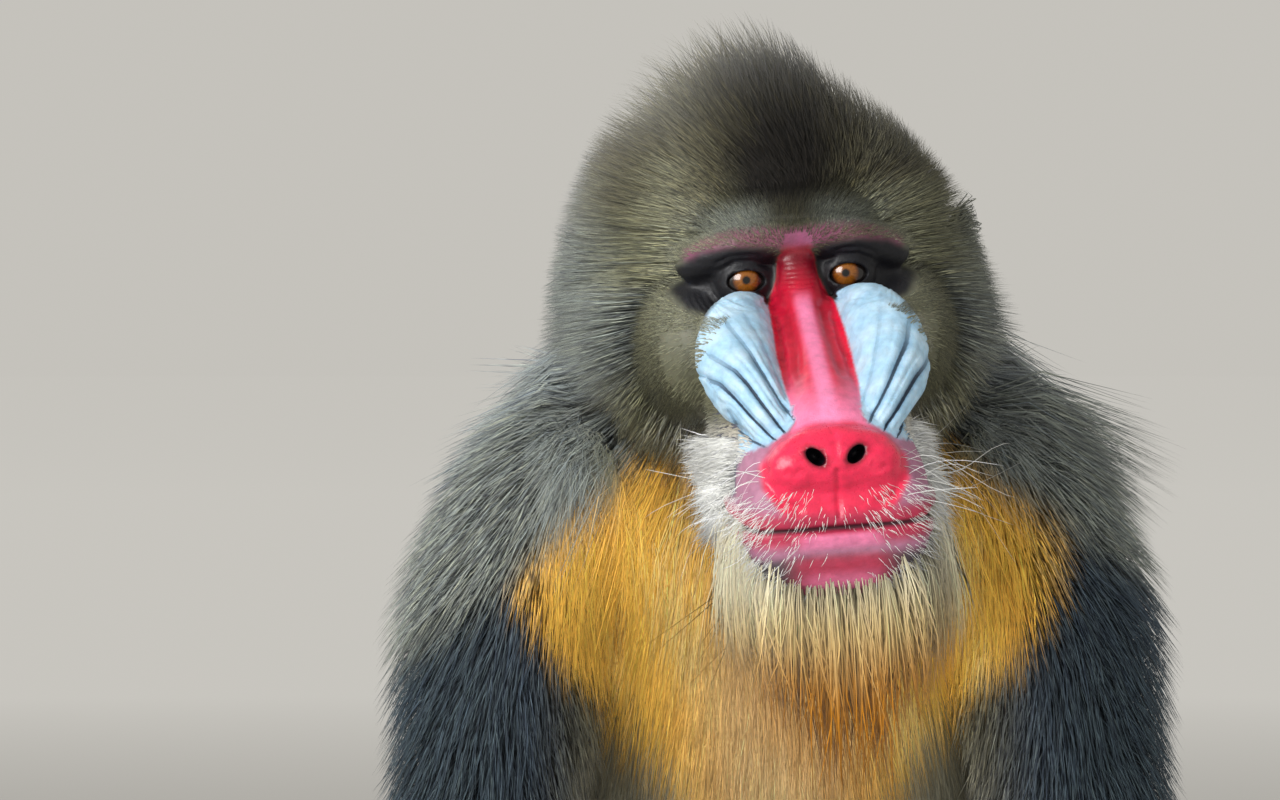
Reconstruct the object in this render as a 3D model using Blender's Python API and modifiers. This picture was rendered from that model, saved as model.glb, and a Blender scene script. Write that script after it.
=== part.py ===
"""A life-size adult male mandrill, seated upright with both palms on the floor.

Metres, +Z up. The animal faces -Y, and its left side is +X. The origin is the middle of the
seat's flat on the floor. Each limb, the trunk and the head are lofts and ellipsoids of flesh
grown by a share of the coat's depth, and long hair is built as flat tapered locks fused to
the node that they grow from.
"""

import math
import random

import bmesh
import bpy
from mathutils import Euler, Matrix, Vector
from mathutils.bvhtree import BVHTree

GAP = 0.0003            # left between nodes that touch
WELD = 1e-6             # points nearer than this are one point
MOST_CORNER = 2.0       # how many gaps a sharp corner of a cutter moves out
CORE = 0.45             # share of the coat's depth that the core takes where locks grow
LIMB_CORE = 0.55        # the same on the limbs
FULL = 0.85             # share where the fur is short and stays plain
FORWARD = Vector((0, -1, 0))
UP = Vector((0, 0, 1))
REACH = 0.2             # farther than any point of the head lies from its middle
MIRROR = Matrix.Scale(-1, 4, Vector((1, 0, 0)))
SEED = 7
LOCK_SINK = 0.006       # how deep a lock's root lies under the skin, before its width's share
LOCK_RIDGE = 0.26       # height of a lock's ridge as a share of its width
LOCK_RINGS = ((0.0, 0.84), (0.48, 1.0))   # place along the lock, share of width

BODY_VOXEL, LIMB_VOXEL = 0.0045, 0.0042
# Triangles of each soft form before it is parted.
BODY_FACES, HEAD_FACES, LIMB_FACES = 860, 1800, 230

# The trunk and neck: centre, half width, half depth and coat depth of each section.
TRUNK = (
    ((0, 0.020, 0.058), 0.104, 0.094, 0.010),
    ((0, 0.024, 0.105), 0.113, 0.103, 0.020),
    ((0, 0.024, 0.170), 0.112, 0.106, 0.026),
    ((0, 0.010, 0.250), 0.108, 0.104, 0.030),
    ((0, -0.024, 0.340), 0.112, 0.106, 0.036),
    ((0, -0.068, 0.428), 0.114, 0.104, 0.042),
    ((0, -0.108, 0.502), 0.102, 0.092, 0.046),
    ((0, -0.138, 0.556), 0.070, 0.070, 0.048),
)
NECK = (
    ((0, -0.112, 0.512), 0.094, 0.080, 0.070),
    ((0, -0.158, 0.562), 0.086, 0.070, 0.068),
    ((0, -0.206, 0.604), 0.062, 0.060, 0.044),
)
SHOULDER = ((0.072, -0.118, 0.506), (0.060, 0.066, 0.058))
BUTTOCK = ((0.056, 0.040, 0.062), (0.056, 0.062, 0.062))
# Where the body is parted: a point on each cut and the way that it faces.
HEAD_CUT = (Vector((0, -0.1362, 0.6013)), Vector((0, -0.652, 0.758)))
NECK_CUT = (Vector((0, -0.060, 0.568)), Vector((0, -0.500, 0.866)))
BELLY_CUT = (Vector((0, 0, 0.320)), UP)
RUMP_CUT = (Vector((0, 0, 0.165)), UP)
ELBOW_CUT = (Vector((0.155, -0.168, 0.282)), Vector((0.06, 0, 1)))
KNEE_CUT = (Vector((0.230, -0.146, 0.198)), Vector((-0.454, 0.812, 0.368)))

# Limbs of the left side, proximal end first.
UPPER_ARM = (
    ((0.106, -0.136, 0.504), 0.044, 0.058, 0.026),
    ((0.126, -0.150, 0.456), 0.042, 0.052, 0.028),
    ((0.138, -0.162, 0.395), 0.035, 0.043, 0.026),
    ((0.150, -0.168, 0.325), 0.030, 0.036, 0.024),
    ((0.155, -0.168, 0.278), 0.030, 0.034, 0.022),
)
FOREARM = (
    ((0.155, -0.167, 0.282), 0.030, 0.035, 0.022),
    ((0.148, -0.177, 0.226), 0.031, 0.037, 0.022),
    ((0.133, -0.190, 0.155), 0.025, 0.029, 0.019),
    ((0.115, -0.203, 0.088), 0.019, 0.021, 0.012),
    ((0.106, -0.208, 0.058), 0.020, 0.017, 0.007),
)
THIGH = (
    ((0.062, -0.004, 0.108), 0.064, 0.070, 0.022),
    ((0.110, -0.044, 0.134), 0.058, 0.065, 0.022),
    ((0.168, -0.092, 0.174), 0.046, 0.054, 0.021),
    ((0.222, -0.138, 0.206), 0.034, 0.040, 0.018),
    ((0.236, -0.150, 0.210), 0.030, 0.034, 0.016),
)
SHIN = (
    ((0.236, -0.150, 0.208), 0.031, 0.034, 0.016),
    ((0.232, -0.172, 0.168), 0.031, 0.037, 0.016),
    ((0.224, -0.205, 0.110), 0.022, 0.027, 0.013),
    ((0.217, -0.230, 0.064), 0.018, 0.020, 0.008),
    ((0.215, -0.236, 0.046), 0.019, 0.021, 0.005),
)
TAIL = (
    ((0, 0.105, 0.128), 0.018, 0.018, 0.012),
    ((0, 0.158, 0.160), 0.012, 0.012, 0.014),
    ((0, 0.186, 0.202), 0.008, 0.008, 0.014),
)

# Hands and feet: wrist or heel end, knuckle end, and the digits' lengths from the inner side.
PALM_BACK, PALM_FRONT = Vector((0.105, -0.210, 0.036)), Vector((0.097, -0.272, 0.015))
PALM_WIDE, PALM_THICK = 0.026, 0.013
FINGERS = (0.044, 0.054, 0.052, 0.042)
FINGER_RADIUS = 0.0072
FOOT_BACK, FOOT_FRONT = Vector((0.214, -0.222, 0.024)), Vector((0.228, -0.322, 0.014))
FOOT_WIDE, FOOT_THICK = 0.026, 0.013
TOES = (0.040, 0.046, 0.044, 0.036)
TOE_RADIUS = 0.0078
# The palm's sections from the wrist: place along it, share of its width, share of its thickness.
PALM_SECTIONS = ((0.0, 0.66, 1.15), (0.45, 0.90, 1.08), (1.0, 1.0, 0.86))
DIGIT_RADII = (1.0, 1.04, 0.95, 0.62)    # along a digit, as shares of its radius
DIGIT_JOINTS = (0.30, 0.66, 1.0)         # where a digit bends, as shares of its length
DIGIT_ROOT = 0.010      # how far a digit starts inside the palm
DIGIT_SPREAD = 0.76     # how much of the palm's half width the outer digits stand at
DIGIT_FAN = 0.06        # how much each digit turns out from the next
FLOOR_SINK = 0.72       # height of a digit's axis on the floor, as a share of its radius
THUMB_RADII = (1.25, 1.1, 0.7)
THUMB_AIM = (0.62, 0.78)                 # how much the thumb points forward and inward
FINGER_ARCH, TOE_ARCH = 0.006, 0.005     # how far a digit's middle joint stands up
FINGER_THUMB, TOE_THUMB = (0.25, 0.034), (0.42, 0.046)   # place along the palm, length

# The head's own frame: origin between the eyes, turned and rolled on the neck.
EYES = Vector((0, -0.305, 0.618))
HEAD_YAW, HEAD_ROLL = math.radians(2), math.radians(-4.2)
CRANIUM = ((0, 0.088, 0.006), (0.064, 0.080, 0.060))
HAIR_CORE = 0.021       # how far the head's core stands over the flesh where hair grows
CHEEK_HAIR = 0.006      # the same on the cheeks
FACE = ((0, 0.024, -0.006), (0.050, 0.024, 0.032))
CHEEK = ((0.043, 0.042, -0.030), (0.031, 0.044, 0.036))
THROAT = ((0, 0.046, -0.078), (0.046, 0.060, 0.042))
BROW = ((-0.046, 0.016, 0.010), (-0.026, 0.002, 0.0175), (0, 0.003, 0.019),
        (0.026, 0.002, 0.0175), (0.046, 0.016, 0.010))
BROW_RADIUS = 0.0105
EYE_X, EYE_DEPTH, EYE_RADIUS = 0.024, 0.0095, 0.0125
LID_HEIGHTS = (0.0074, -0.0070)          # how far each lid bows from the line of the corners
LID_RADIUS, LID_WIDE, LID_CLEAR, LID_POINTS = 0.0022, 0.0124, 0.0002, 5
EYE_OPENING = (0.0108, 0.0090, 0.0070)   # half width, depth and half height between the lids

# The muzzle, as upright sections: distance forward of the eyes, top, bottom, half width, and
# the share of that width which is left along the top.
MUZZLE = (
    (-0.008, 0.002, -0.104, 0.045, 0.20),
    (0.010, -0.004, -0.116, 0.045, 0.24),
    (0.035, -0.017, -0.127, 0.042, 0.32),
    (0.062, -0.032, -0.135, 0.0415, 0.38),
    (0.088, -0.046, -0.141, 0.043, 0.42),
    (0.106, -0.058, -0.144, 0.0435, 0.46),
    (0.116, -0.070, -0.141, 0.0405, 0.48),
)
MUZZLE_BULGE = 0.008    # how far the muzzle's front stands past its last section
MUZZLE_SQUARE = 0.76    # power that squares the muzzle's sections: 1 would leave them round
# The lip line's height at the mouth's front and corner, and how far forward each of them lies.
MOUTH_FRONT, MOUTH_CORNER = -0.112, -0.100
MOUTH_FRONT_REACH, MOUTH_REACH = 0.120, 0.052
UPPER_LIP, LOWER_LIP = (0.0048, 0.0045), (-0.0050, 0.0046)   # height over the line, radius
JAW_INSET = 0.001       # how much slimmer the lower jaw is than the upper
# The ribbed swelling beside the nose: centre and radius along its length.
SWELLING = (
    ((0.022, -0.007, -0.012), 0.008),
    ((0.0300, -0.020, -0.019), 0.0155),
    ((0.0345, -0.040, -0.031), 0.0192),
    ((0.0345, -0.060, -0.043), 0.0182),
    ((0.0305, -0.080, -0.055), 0.0145),
    ((0.0265, -0.096, -0.064), 0.0090),
)
SWELLING_RIBS = 5
SWELLING_GROOVE = 0.17  # depth of the grooves as a share of the swelling's radius
SWELLING_OUT = Vector((0.62, -0.25, 0.80))   # the way that the swelling's middle faces
SWELLING_ARC = (math.radians(-105), math.radians(105))
LIP_PATH = ((-0.036, 0.046), (-0.0425, 0.066), (-0.0430, 0.090), (-0.0395, 0.108),
            (-0.023, 0.1190), (0, 0.1215))
NOSE = ((0, -0.116, -0.083), (0.031, 0.0150, 0.0185))
NOSTRIL = ((0.0094, -0.1290, -0.0785), (0.0048, 0.009, 0.0040))
EAR = ((0.085, 0.090, 0.000), (0.007, 0.017, 0.022))
CREST_SIDE = 0.62       # length of the crest's side locks as a share of its middle ones
EAR_RINGS = ((1.0, 0.0), (0.78, 0.6), (0.35, 1.0))   # share of the outline, depth of the cup
EAR_STEM = (0.0125, 0.008, 0.012)
EAR_SIDES, EAR_WALL, EAR_POINT = 10, 0.0030, 0.16
EAR_FLARE = 0.30        # how far the back of an ear's rim stands out, as a share of its depth
EAR_CLEAR = 0.029       # no lock grows this near to an ear's middle
SHORT_BY_EAR = 0.6      # length of a lock that would pass over an ear, as a share
BEARD = (
    ((0, -0.066, -0.116), 0.038, 0.046, 0.0),
    ((0, -0.064, -0.150), 0.048, 0.040, 0.0),
    ((0, -0.068, -0.178), 0.030, 0.024, 0.0),
    ((0, -0.072, -0.194), 0.012, 0.011, 0.0),
)
BEARD_TIP = Vector((0, -0.078, -0.236))

COLOURS = {
    "olive": (0.13, 0.12, 0.085, 1),
    "slate": (0.055, 0.070, 0.085, 1),
    "gold": (0.66, 0.33, 0.045, 1),
    "cream": (0.78, 0.72, 0.55, 1),
    "red": (0.62, 0.030, 0.050, 1),
    "blue": (0.36, 0.54, 0.70, 1),
    "skin": (0.050, 0.045, 0.055, 1),
    "amber": (0.42, 0.17, 0.025, 1),
}

random.seed(SEED)


def clear_scene():
    """Remove every object that the file opened with."""
    for obj in list(bpy.data.objects):
        bpy.data.objects.remove(obj)


def new_collection(name):
    """A collection linked to the scene."""
    made = bpy.data.collections.new(name)
    bpy.context.scene.collection.children.link(made)
    return made


def material(name, roughness=0.75):
    """The named Principled material, made once."""
    found = bpy.data.materials.get(name)
    if found:
        return found
    made = bpy.data.materials.new(name)
    made.use_nodes = True
    shader = made.node_tree.nodes["Principled BSDF"]
    shader.inputs["Base Color"].default_value = COLOURS[name]
    shader.inputs["Roughness"].default_value = roughness
    made.diffuse_color = COLOURS[name]
    return made


def add_mesh(name, mesh):
    """A new object on this mesh, in the animal's collection."""
    obj = bpy.data.objects.new(name, mesh)
    animal.objects.link(obj)
    return obj


def from_bmesh(name, bm):
    """A new object from a bmesh, made triangles with their faces turned out."""
    bmesh.ops.triangulate(bm, faces=bm.faces)
    bmesh.ops.recalc_face_normals(bm, faces=bm.faces)
    mesh = bpy.data.meshes.new(name)
    bm.to_mesh(mesh)
    bm.free()
    return add_mesh(name, mesh)


def ellipsoid(name, centre, radii, sides=20, rings=14, turn=(0, 0, 0)):
    """A UV sphere scaled to three radii."""
    bm = bmesh.new()
    bmesh.ops.create_uvsphere(bm, u_segments=sides, v_segments=rings, radius=1)
    bm.transform(Matrix.LocRotScale(Vector(centre), Euler(turn), Vector(radii)))
    return from_bmesh(name, bm)


def smooth_sections(sections, steps):
    """The sections with more between them, on a Catmull-Rom curve."""
    rows = [tuple(s[0]) + tuple(s[1:]) for s in sections]
    out = []
    for i in range(len(rows) - 1):
        before, after = rows[max(i - 1, 0)], rows[min(i + 2, len(rows) - 1)]
        for step in range(steps):
            t = step / steps
            out.append(tuple(
                0.5 * (2 * b + (c - a) * t + (2 * a - 5 * b + 4 * c - d) * t * t
                       + (3 * b - a - 3 * c + d) * t ** 3)
                for a, b, c, d in zip(before, rows[i], rows[i + 1], after)
            ))
    out.append(rows[-1])
    return [(Vector(r[:3]), *r[3:]) for r in out]


def ring_frame(sections, i, front):
    """The tangent, side and depth directions of one section."""
    before, after = sections[max(i - 1, 0)][0], sections[min(i + 1, len(sections) - 1)][0]
    along = (after - before).normalized()
    side = front.cross(along).normalized()
    return along, side, along.cross(side).normalized()


def add_ring(bm, centre, side, depth, wide, deep, count, power=1.0):
    """One ring of a loft. A power under 1 squares the ring's corners."""
    ring = []
    for k in range(count):
        turn = 2 * math.pi * (k + 0.5) / count
        c, s = math.cos(turn), math.sin(turn)
        c = math.copysign(abs(c) ** power, c)
        s = math.copysign(abs(s) ** power, s)
        ring.append(bm.verts.new(centre + side * wide * c + depth * deep * s))
    return ring


def bridge(bm, first, second):
    """Faces between two rings of one count."""
    count = len(first)
    for k in range(count):
        n = (k + 1) % count
        bm.faces.new((first[k], first[n], second[n], second[k]))


def loft(name, sections, front=FORWARD, share=CORE, sides=16, steps=3, power=1.0):
    """A closed tube of elliptic sections with rounded ends, grown by a share of the coat."""
    rows = smooth_sections(sections, steps)
    bm = bmesh.new()
    rings = []
    for i, (centre, wide, deep, coat) in enumerate(rows):
        along, side, depth = ring_frame(rows, i, front)
        wide, deep = wide + coat * share, deep + coat * share
        ends = ((0.9, -1), (0.5, -1)) if i == 0 else ()
        for k, way in ends:
            shrink = math.sqrt(1 - k * k)
            rings.append(add_ring(bm, centre + along * way * k * min(wide, deep), side, depth,
                                  wide * shrink, deep * shrink, sides, power))
        rings.append(add_ring(bm, centre, side, depth, wide, deep, sides, power))
        ends = ((0.5, 1), (0.9, 1)) if i == len(rows) - 1 else ()
        for k, way in ends:
            shrink = math.sqrt(1 - k * k)
            rings.append(add_ring(bm, centre + along * way * k * min(wide, deep), side, depth,
                                  wide * shrink, deep * shrink, sides, power))
    for first, second in zip(rings, rings[1:]):
        bridge(bm, first, second)
    bm.faces.new(rings[0])
    bm.faces.new(rings[-1])
    return from_bmesh(name, bm)


def tube(name, points, radii, resolution=2, sides=1):
    """A bevelled curve with filled caps, made a mesh with its caps welded."""
    curve = bpy.data.curves.new(name, "CURVE")
    curve.dimensions = "3D"
    curve.bevel_depth = 1.0
    curve.bevel_resolution = sides
    curve.use_fill_caps = True
    curve.resolution_u = resolution
    line = curve.splines.new("NURBS")
    line.points.add(len(points) - 1)
    line.use_endpoint_u = True
    line.order_u = min(4, len(points))
    for point, place, radius in zip(line.points, points, radii):
        point.co = (*place, 1)
        point.radius = radius
    obj = bpy.data.objects.new(name, curve)
    animal.objects.link(obj)
    return as_mesh(obj)


def as_mesh(obj, split=True):
    """The object replaced by a mesh of what the viewport shows of it, in triangles if split."""
    name = obj.name
    bpy.context.view_layer.update()
    graph = bpy.context.evaluated_depsgraph_get()
    mesh = bpy.data.meshes.new_from_object(obj.evaluated_get(graph))
    place = obj.matrix_world.copy()
    bpy.data.objects.remove(obj)
    bm = bmesh.new()
    bm.from_mesh(mesh)
    bm.transform(place)
    bmesh.ops.remove_doubles(bm, verts=bm.verts, dist=WELD)
    if split:
        bmesh.ops.triangulate(bm, faces=bm.faces)
    bm.to_mesh(mesh)
    bm.free()
    return add_mesh(name, mesh)


def moved(obj, matrix):
    """The object with its mesh moved by a matrix."""
    obj.data.transform(matrix)
    if matrix.determinant() < 0:
        obj.data.flip_normals()
    return obj


def keep_largest(obj):
    """Keep only the largest closed surface of the mesh."""
    bm = bmesh.new()
    bm.from_mesh(obj.data)
    left, groups = set(bm.faces), []
    while left:
        stack, group = [left.pop()], []
        while stack:
            face = stack.pop()
            group.append(face)
            for edge in face.edges:
                for other in edge.link_faces:
                    if other in left:
                        left.remove(other)
                        stack.append(other)
        groups.append(group)
    groups.sort(key=surface, reverse=True)
    for group in groups[1:]:
        bmesh.ops.delete(bm, geom=group, context="FACES")
    bm.to_mesh(obj.data)
    bm.free()
    return obj


def surface(faces):
    """The area of some faces, to rank loose pieces."""
    return sum(face.calc_area() for face in faces)


def boolean(obj, others, operation, solver="MANIFOLD"):
    """Apply one Boolean of obj with these objects, which are then removed."""
    cutters = new_collection("cutters")
    for other in others:
        for home in list(other.users_collection):
            home.objects.unlink(other)
        cutters.objects.link(other)
        other.hide_render = True
    step = obj.modifiers.new(operation.title(), "BOOLEAN")
    step.operation = operation
    step.solver = solver
    step.operand_type = "COLLECTION"
    step.collection = cutters
    made = as_mesh(obj, split=False)
    for other in others:
        bpy.data.objects.remove(other)
    bpy.data.collections.remove(cutters)
    return keep_largest(made)


def fuse(name, pieces):
    """The pieces joined into one closed body under this name."""
    first = pieces[0]
    made = boolean(first, pieces[1:], "UNION") if len(pieces) > 1 else first
    made.name = name
    return made


def blended(name, pieces, voxel, rounds):
    """The pieces as one soft form, remeshed together and smoothed."""
    bm = bmesh.new()
    for piece in pieces:
        bm.from_mesh(piece.data)
    for piece in pieces:
        bpy.data.objects.remove(piece)
    obj = from_bmesh(name, bm)
    remesh = obj.modifiers.new("Remesh", "REMESH")
    remesh.mode = "VOXEL"
    remesh.voxel_size = voxel
    smooth = obj.modifiers.new("Smooth", "SMOOTH")
    smooth.factor = 0.5
    smooth.iterations = rounds
    return as_mesh(obj)


def grown(obj, by):
    """A copy whose faces are moved out by this much, its corners a little more."""
    bm = bmesh.new()
    bm.from_mesh(obj.data)
    bm.normal_update()
    moves = [(v, v.normal * by * min(v.calc_shell_factor(), MOST_CORNER)) for v in bm.verts]
    for vert, move in moves:
        vert.co += move
    mesh = bpy.data.meshes.new("grown")
    bm.to_mesh(mesh)
    bm.free()
    return add_mesh("grown", mesh)


def half_space(cut, side):
    """The space on the side that a cut faces (1) or on the other (-1), half a gap clear."""
    point, normal = cut
    normal = normal.normalized() * side
    turn = normal.to_track_quat("Z", "Y").to_matrix().to_4x4()
    block = box("space", (-1, -1, GAP / 2), (1, 1, 2))
    return moved(block, Matrix.Translation(point) @ turn)


def parted(whole, name, bounds):
    """The part of a whole form within some cuts."""
    made = add_mesh(name, whole.data.copy())
    for bound in bounds:
        made = boolean(made, [half_space(*bound)], "INTERSECT")
    made.name = name
    return made


def reduced(obj, faces):
    """A copy with about this many triangles, with a few more where that would tear it."""
    count = sum(len(p.vertices) - 2 for p in obj.data.polygons)
    while True:
        made = add_mesh(obj.name, obj.data.copy())
        step = made.modifiers.new("Decimate", "DECIMATE")
        step.ratio = min(1.0, faces / count)
        made = as_mesh(made)
        if is_closed(made) or faces > count:
            return made
        bpy.data.objects.remove(made)
        faces *= 1.1


def is_closed(obj):
    """Whether each edge of the mesh has two faces."""
    bm = bmesh.new()
    bm.from_mesh(obj.data)
    closed = all(len(edge.link_faces) == 2 for edge in bm.edges)
    bm.free()
    return closed


def mirrored_cut(cut, way):
    """A cut on the side that way gives."""
    point, normal = cut
    return Vector((way * point.x, *point.yz)), Vector((way * normal.x, *normal.yz))


def bounds_of(obj):
    """The lowest and highest corners of an object's mesh."""
    places = [v.co for v in obj.data.vertices]
    return ([min(p[i] for p in places) for i in range(3)],
            [max(p[i] for p in places) for i in range(3)])


def near(a, b):
    """Whether two pairs of corners come within the gap."""
    return all(a[0][i] <= b[1][i] + GAP and b[0][i] <= a[1][i] + GAP for i in range(3))


def box(name, low, high):
    """A box from its corners, as a cutter."""
    bm = bmesh.new()
    bmesh.ops.create_cube(bm, size=1)
    low, high = Vector(low), Vector(high)
    bm.transform(Matrix.Translation((low + high) / 2) @ Matrix.Diagonal((*(high - low), 1)))
    return from_bmesh(name, bm)


def on_surface(tree, outside, inside):
    """Where a ray from outside towards inside meets a surface, with the normal there."""
    way = inside - outside
    place, normal, _, _ = tree.ray_cast(outside, way.normalized(), way.length)
    return place, normal


def lock(place, normal, lie, length, wide, lift):
    """A flat tapered lock that leaves the skin at a slope and bends over to lie along it."""
    lie = (lie - normal * lie.dot(normal)).normalized()
    side = normal.cross(lie).normalized()
    sink = LOCK_SINK + 0.12 * wide
    start = place - normal * sink - lie * sink
    bend = place + normal * length * (0.10 + lift * 0.5) + lie * length * 0.35
    tip = place + lie * length * math.cos(lift) + normal * length * math.sin(lift)
    bm = bmesh.new()
    rings = []
    for t, share in LOCK_RINGS:
        middle = start.lerp(bend, t).lerp(bend.lerp(tip, t), t)
        ahead = (bend - start).lerp(tip - bend, t).normalized()
        out = ahead.cross(side).normalized()
        if out.dot(normal) < 0:
            out = -out
        half = side * wide * 0.5 * share
        ridge = out * wide * LOCK_RIDGE * share
        rings.append([bm.verts.new(middle + half), bm.verts.new(middle + ridge),
                      bm.verts.new(middle - half)])
    for first, second in zip(rings, rings[1:]):
        bridge(bm, first, second)
    end = bm.verts.new(tip)
    for k in range(3):
        bm.faces.new((rings[-1][k], rings[-1][(k + 1) % 3], end))
    bm.faces.new(rings[0])
    return from_bmesh("lock", bm)


def wobble(value, share=0.15):
    """The value varied by up to this share either way."""
    return value * (1 + random.uniform(-share, share))


def locks_round(tree, sections, rows, focus=None):
    """Locks in tiers round a trunk or limb.

    Each row is (place along the sections from 0 to 1, first angle, last angle, how many,
    length, width, lift). Angle 0 is the front and 90 the left side. The hair hangs, or points
    at the focus.
    """
    path = smooth_sections(sections, 6)
    made = []
    for along_at, first, last, count, length, wide, lift in rows:
        i = min(int(along_at * (len(path) - 1)), len(path) - 2)
        centre = path[i][0]
        along = (path[i][0] - path[i + 1][0]).normalized()
        if along.z > 0:
            along = -along
        for k in range(count):
            angle = math.radians(first + (last - first) * (k + random.uniform(0.3, 0.7)) / count)
            out = Vector((math.sin(angle), -math.cos(angle), 0))
            out = (out - along * out.dot(along)).normalized()
            level = centre + along * random.uniform(-0.006, 0.006)
            place, normal = on_surface(tree, level + out * 0.4, level)
            if place is None:
                continue
            lie = along * 0.65 - UP * 0.35
            if focus:
                lie = (focus - place).normalized()
            lie.x += random.uniform(-0.12, 0.12)
            made.append(lock(place, normal, lie, wobble(length), wobble(wide), wobble(lift)))
    return made


def head_direction(alpha, beta):
    """A direction in the head's frame: alpha from straight ahead, beta round it from the left
    side (0) over the crown (90)."""
    a, b = math.radians(alpha), math.radians(beta)
    return Vector((math.sin(a) * math.cos(b), -math.cos(a), math.sin(a) * math.sin(b)))


def locks_on_head(tree, centre, rows, sway):
    """Locks in arcs round the face.

    Each row is (alpha, first beta, last beta, how many, length, width, lift). The hair points
    away from the face, turned by sway.
    """
    made = []
    for alpha, first, last, count, length, wide, lift in rows:
        for k in range(count):
            beta = first + (last - first) * (k + random.uniform(0.35, 0.65)) / count
            out = head_direction(alpha + random.uniform(-2, 2), beta)
            place, normal = on_surface(tree, centre + out * 0.3, centre)
            crown = CREST_SIDE + (1 - CREST_SIDE) * max(0.0, math.sin(math.radians(beta))) ** 4
            length_here = wobble(length) * (crown if sway.z > 0 else 1)
            wide_here, lift_here = wobble(wide), wobble(lift)
            if place is None:
                continue
            away = (head_direction(alpha + 30, beta) - out).normalized() + sway
            reach = [place + away.normalized() * length_here * t for t in (0, 0.5, 1)]
            ear = Vector((math.copysign(EAR[0][0], place.x), *EAR[0][1:]))
            if (place - ear).length < EAR_CLEAR:
                continue
            if min((point - ear).length for point in reach) < EAR_CLEAR:
                length_here *= SHORT_BY_EAR
            made.append(lock(place, normal, away, length_here, wide_here, lift_here))
    return made


def ray_tree(obj):
    """The tree that rays are cast on to find where a lock grows."""
    return BVHTree.FromObject(obj, bpy.context.evaluated_depsgraph_get())


def make_body():
    """The head's core, neck, chest, belly and rump, parted from one soft form, with locks."""
    pieces = [loft("trunk", TRUNK, sides=24, steps=4), loft("neck", NECK, sides=20, steps=4)]
    for way in (1, -1):
        for (x, y, z), radii in (SHOULDER, BUTTOCK):
            pieces.append(ellipsoid("mound", (way * x, y, z), radii))
    skull = cheeks() + [
        cranium_core(),
        ellipsoid("face", *FACE, 24, 16),
        ellipsoid("throat", *THROAT, 20, 14),
        tube("brow", [Vector(p) for p in BROW], [BROW_RADIUS] * len(BROW), 4, 3),
    ]
    pieces += [moved(piece, head_matrix()) for piece in skull]
    whole = blended("whole", pieces, BODY_VOXEL, 5)
    tree = ray_tree(whole)
    coarse, fine = reduced(whole, BODY_FACES), reduced(whole, HEAD_FACES)
    rump = parted(coarse, "rump", ((RUMP_CUT, -1),))
    belly = parted(coarse, "belly", ((RUMP_CUT, 1), (BELLY_CUT, -1)))
    chest = parted(coarse, "chest", ((BELLY_CUT, 1), (NECK_CUT, -1)))
    neck = parted(coarse, "neck", ((NECK_CUT, 1), (HEAD_CUT, -1)))
    head = parted(fine, "head", ((HEAD_CUT, 1),))
    for form in (whole, coarse, fine):
        bpy.data.objects.remove(form)
    return [
        ("head", open_eyes(head) + head_locks()),
        ("neck", [neck] + locks_round(tree, NECK, (
            (0.30, 50, 310, 7, 0.072, 0.058, 0.34),
            (0.56, 24, 336, 8, 0.068, 0.056, 0.42),
            (0.78, 24, 336, 7, 0.056, 0.050, 0.38),
        ))),
        ("chest", [chest] + locks_round(tree, TRUNK, (
            (0.86, -60, 60, 5, 0.066, 0.046, 0.24),
            (0.86, 114, 246, 6, 0.074, 0.054, 0.30),
            (0.76, -50, 50, 4, 0.066, 0.050, 0.24),
            (0.75, 106, 254, 6, 0.074, 0.054, 0.28),
            (0.64, 104, 256, 6, 0.072, 0.056, 0.26),
        ))),
        ("belly", [belly] + locks_round(tree, TRUNK, (
            (0.56, -50, 50, 4, 0.060, 0.048, 0.22),
            (0.53, 78, 282, 9, 0.064, 0.052, 0.24),
            (0.41, 84, 276, 8, 0.060, 0.052, 0.24),
        ))),
        ("rump", [rump] + locks_round(tree, TRUNK, (
            (0.20, 60, 150, 3, 0.046, 0.044, 0.20),
            (0.20, 210, 300, 3, 0.046, 0.044, 0.20),
        ))),
    ]


def mirrored_sections(sections, way):
    """The sections of the side that way gives: 1 left, -1 right."""
    return tuple(((way * c[0], c[1], c[2]), *rest) for c, *rest in sections)


def make_limb(names, sections, way, joint, rows):
    """Two segments of a limb, parted at their joint from one soft form, with their locks."""
    pairs = [mirrored_sections(part, way) for part in sections]
    lofts = [loft("limb", part, share=LIMB_CORE) for part in pairs]
    whole = blended("limb", lofts, LIMB_VOXEL, 3)
    tree = ray_tree(whole)
    coarse = reduced(whole, LIMB_FACES)
    joint = mirrored_cut(joint, way)
    made = []
    for name, part, side, tiers in zip(names, pairs, (1, -1), rows):
        if way < 0:
            tiers = [(at, -first, -last, *rest) for at, first, last, *rest in tiers]
        segment = parted(coarse, name, ((joint, side),))
        made.append((name, [segment] + locks_round(tree, part, tiers)))
    bpy.data.objects.remove(whole)
    bpy.data.objects.remove(coarse)
    return made


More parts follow.
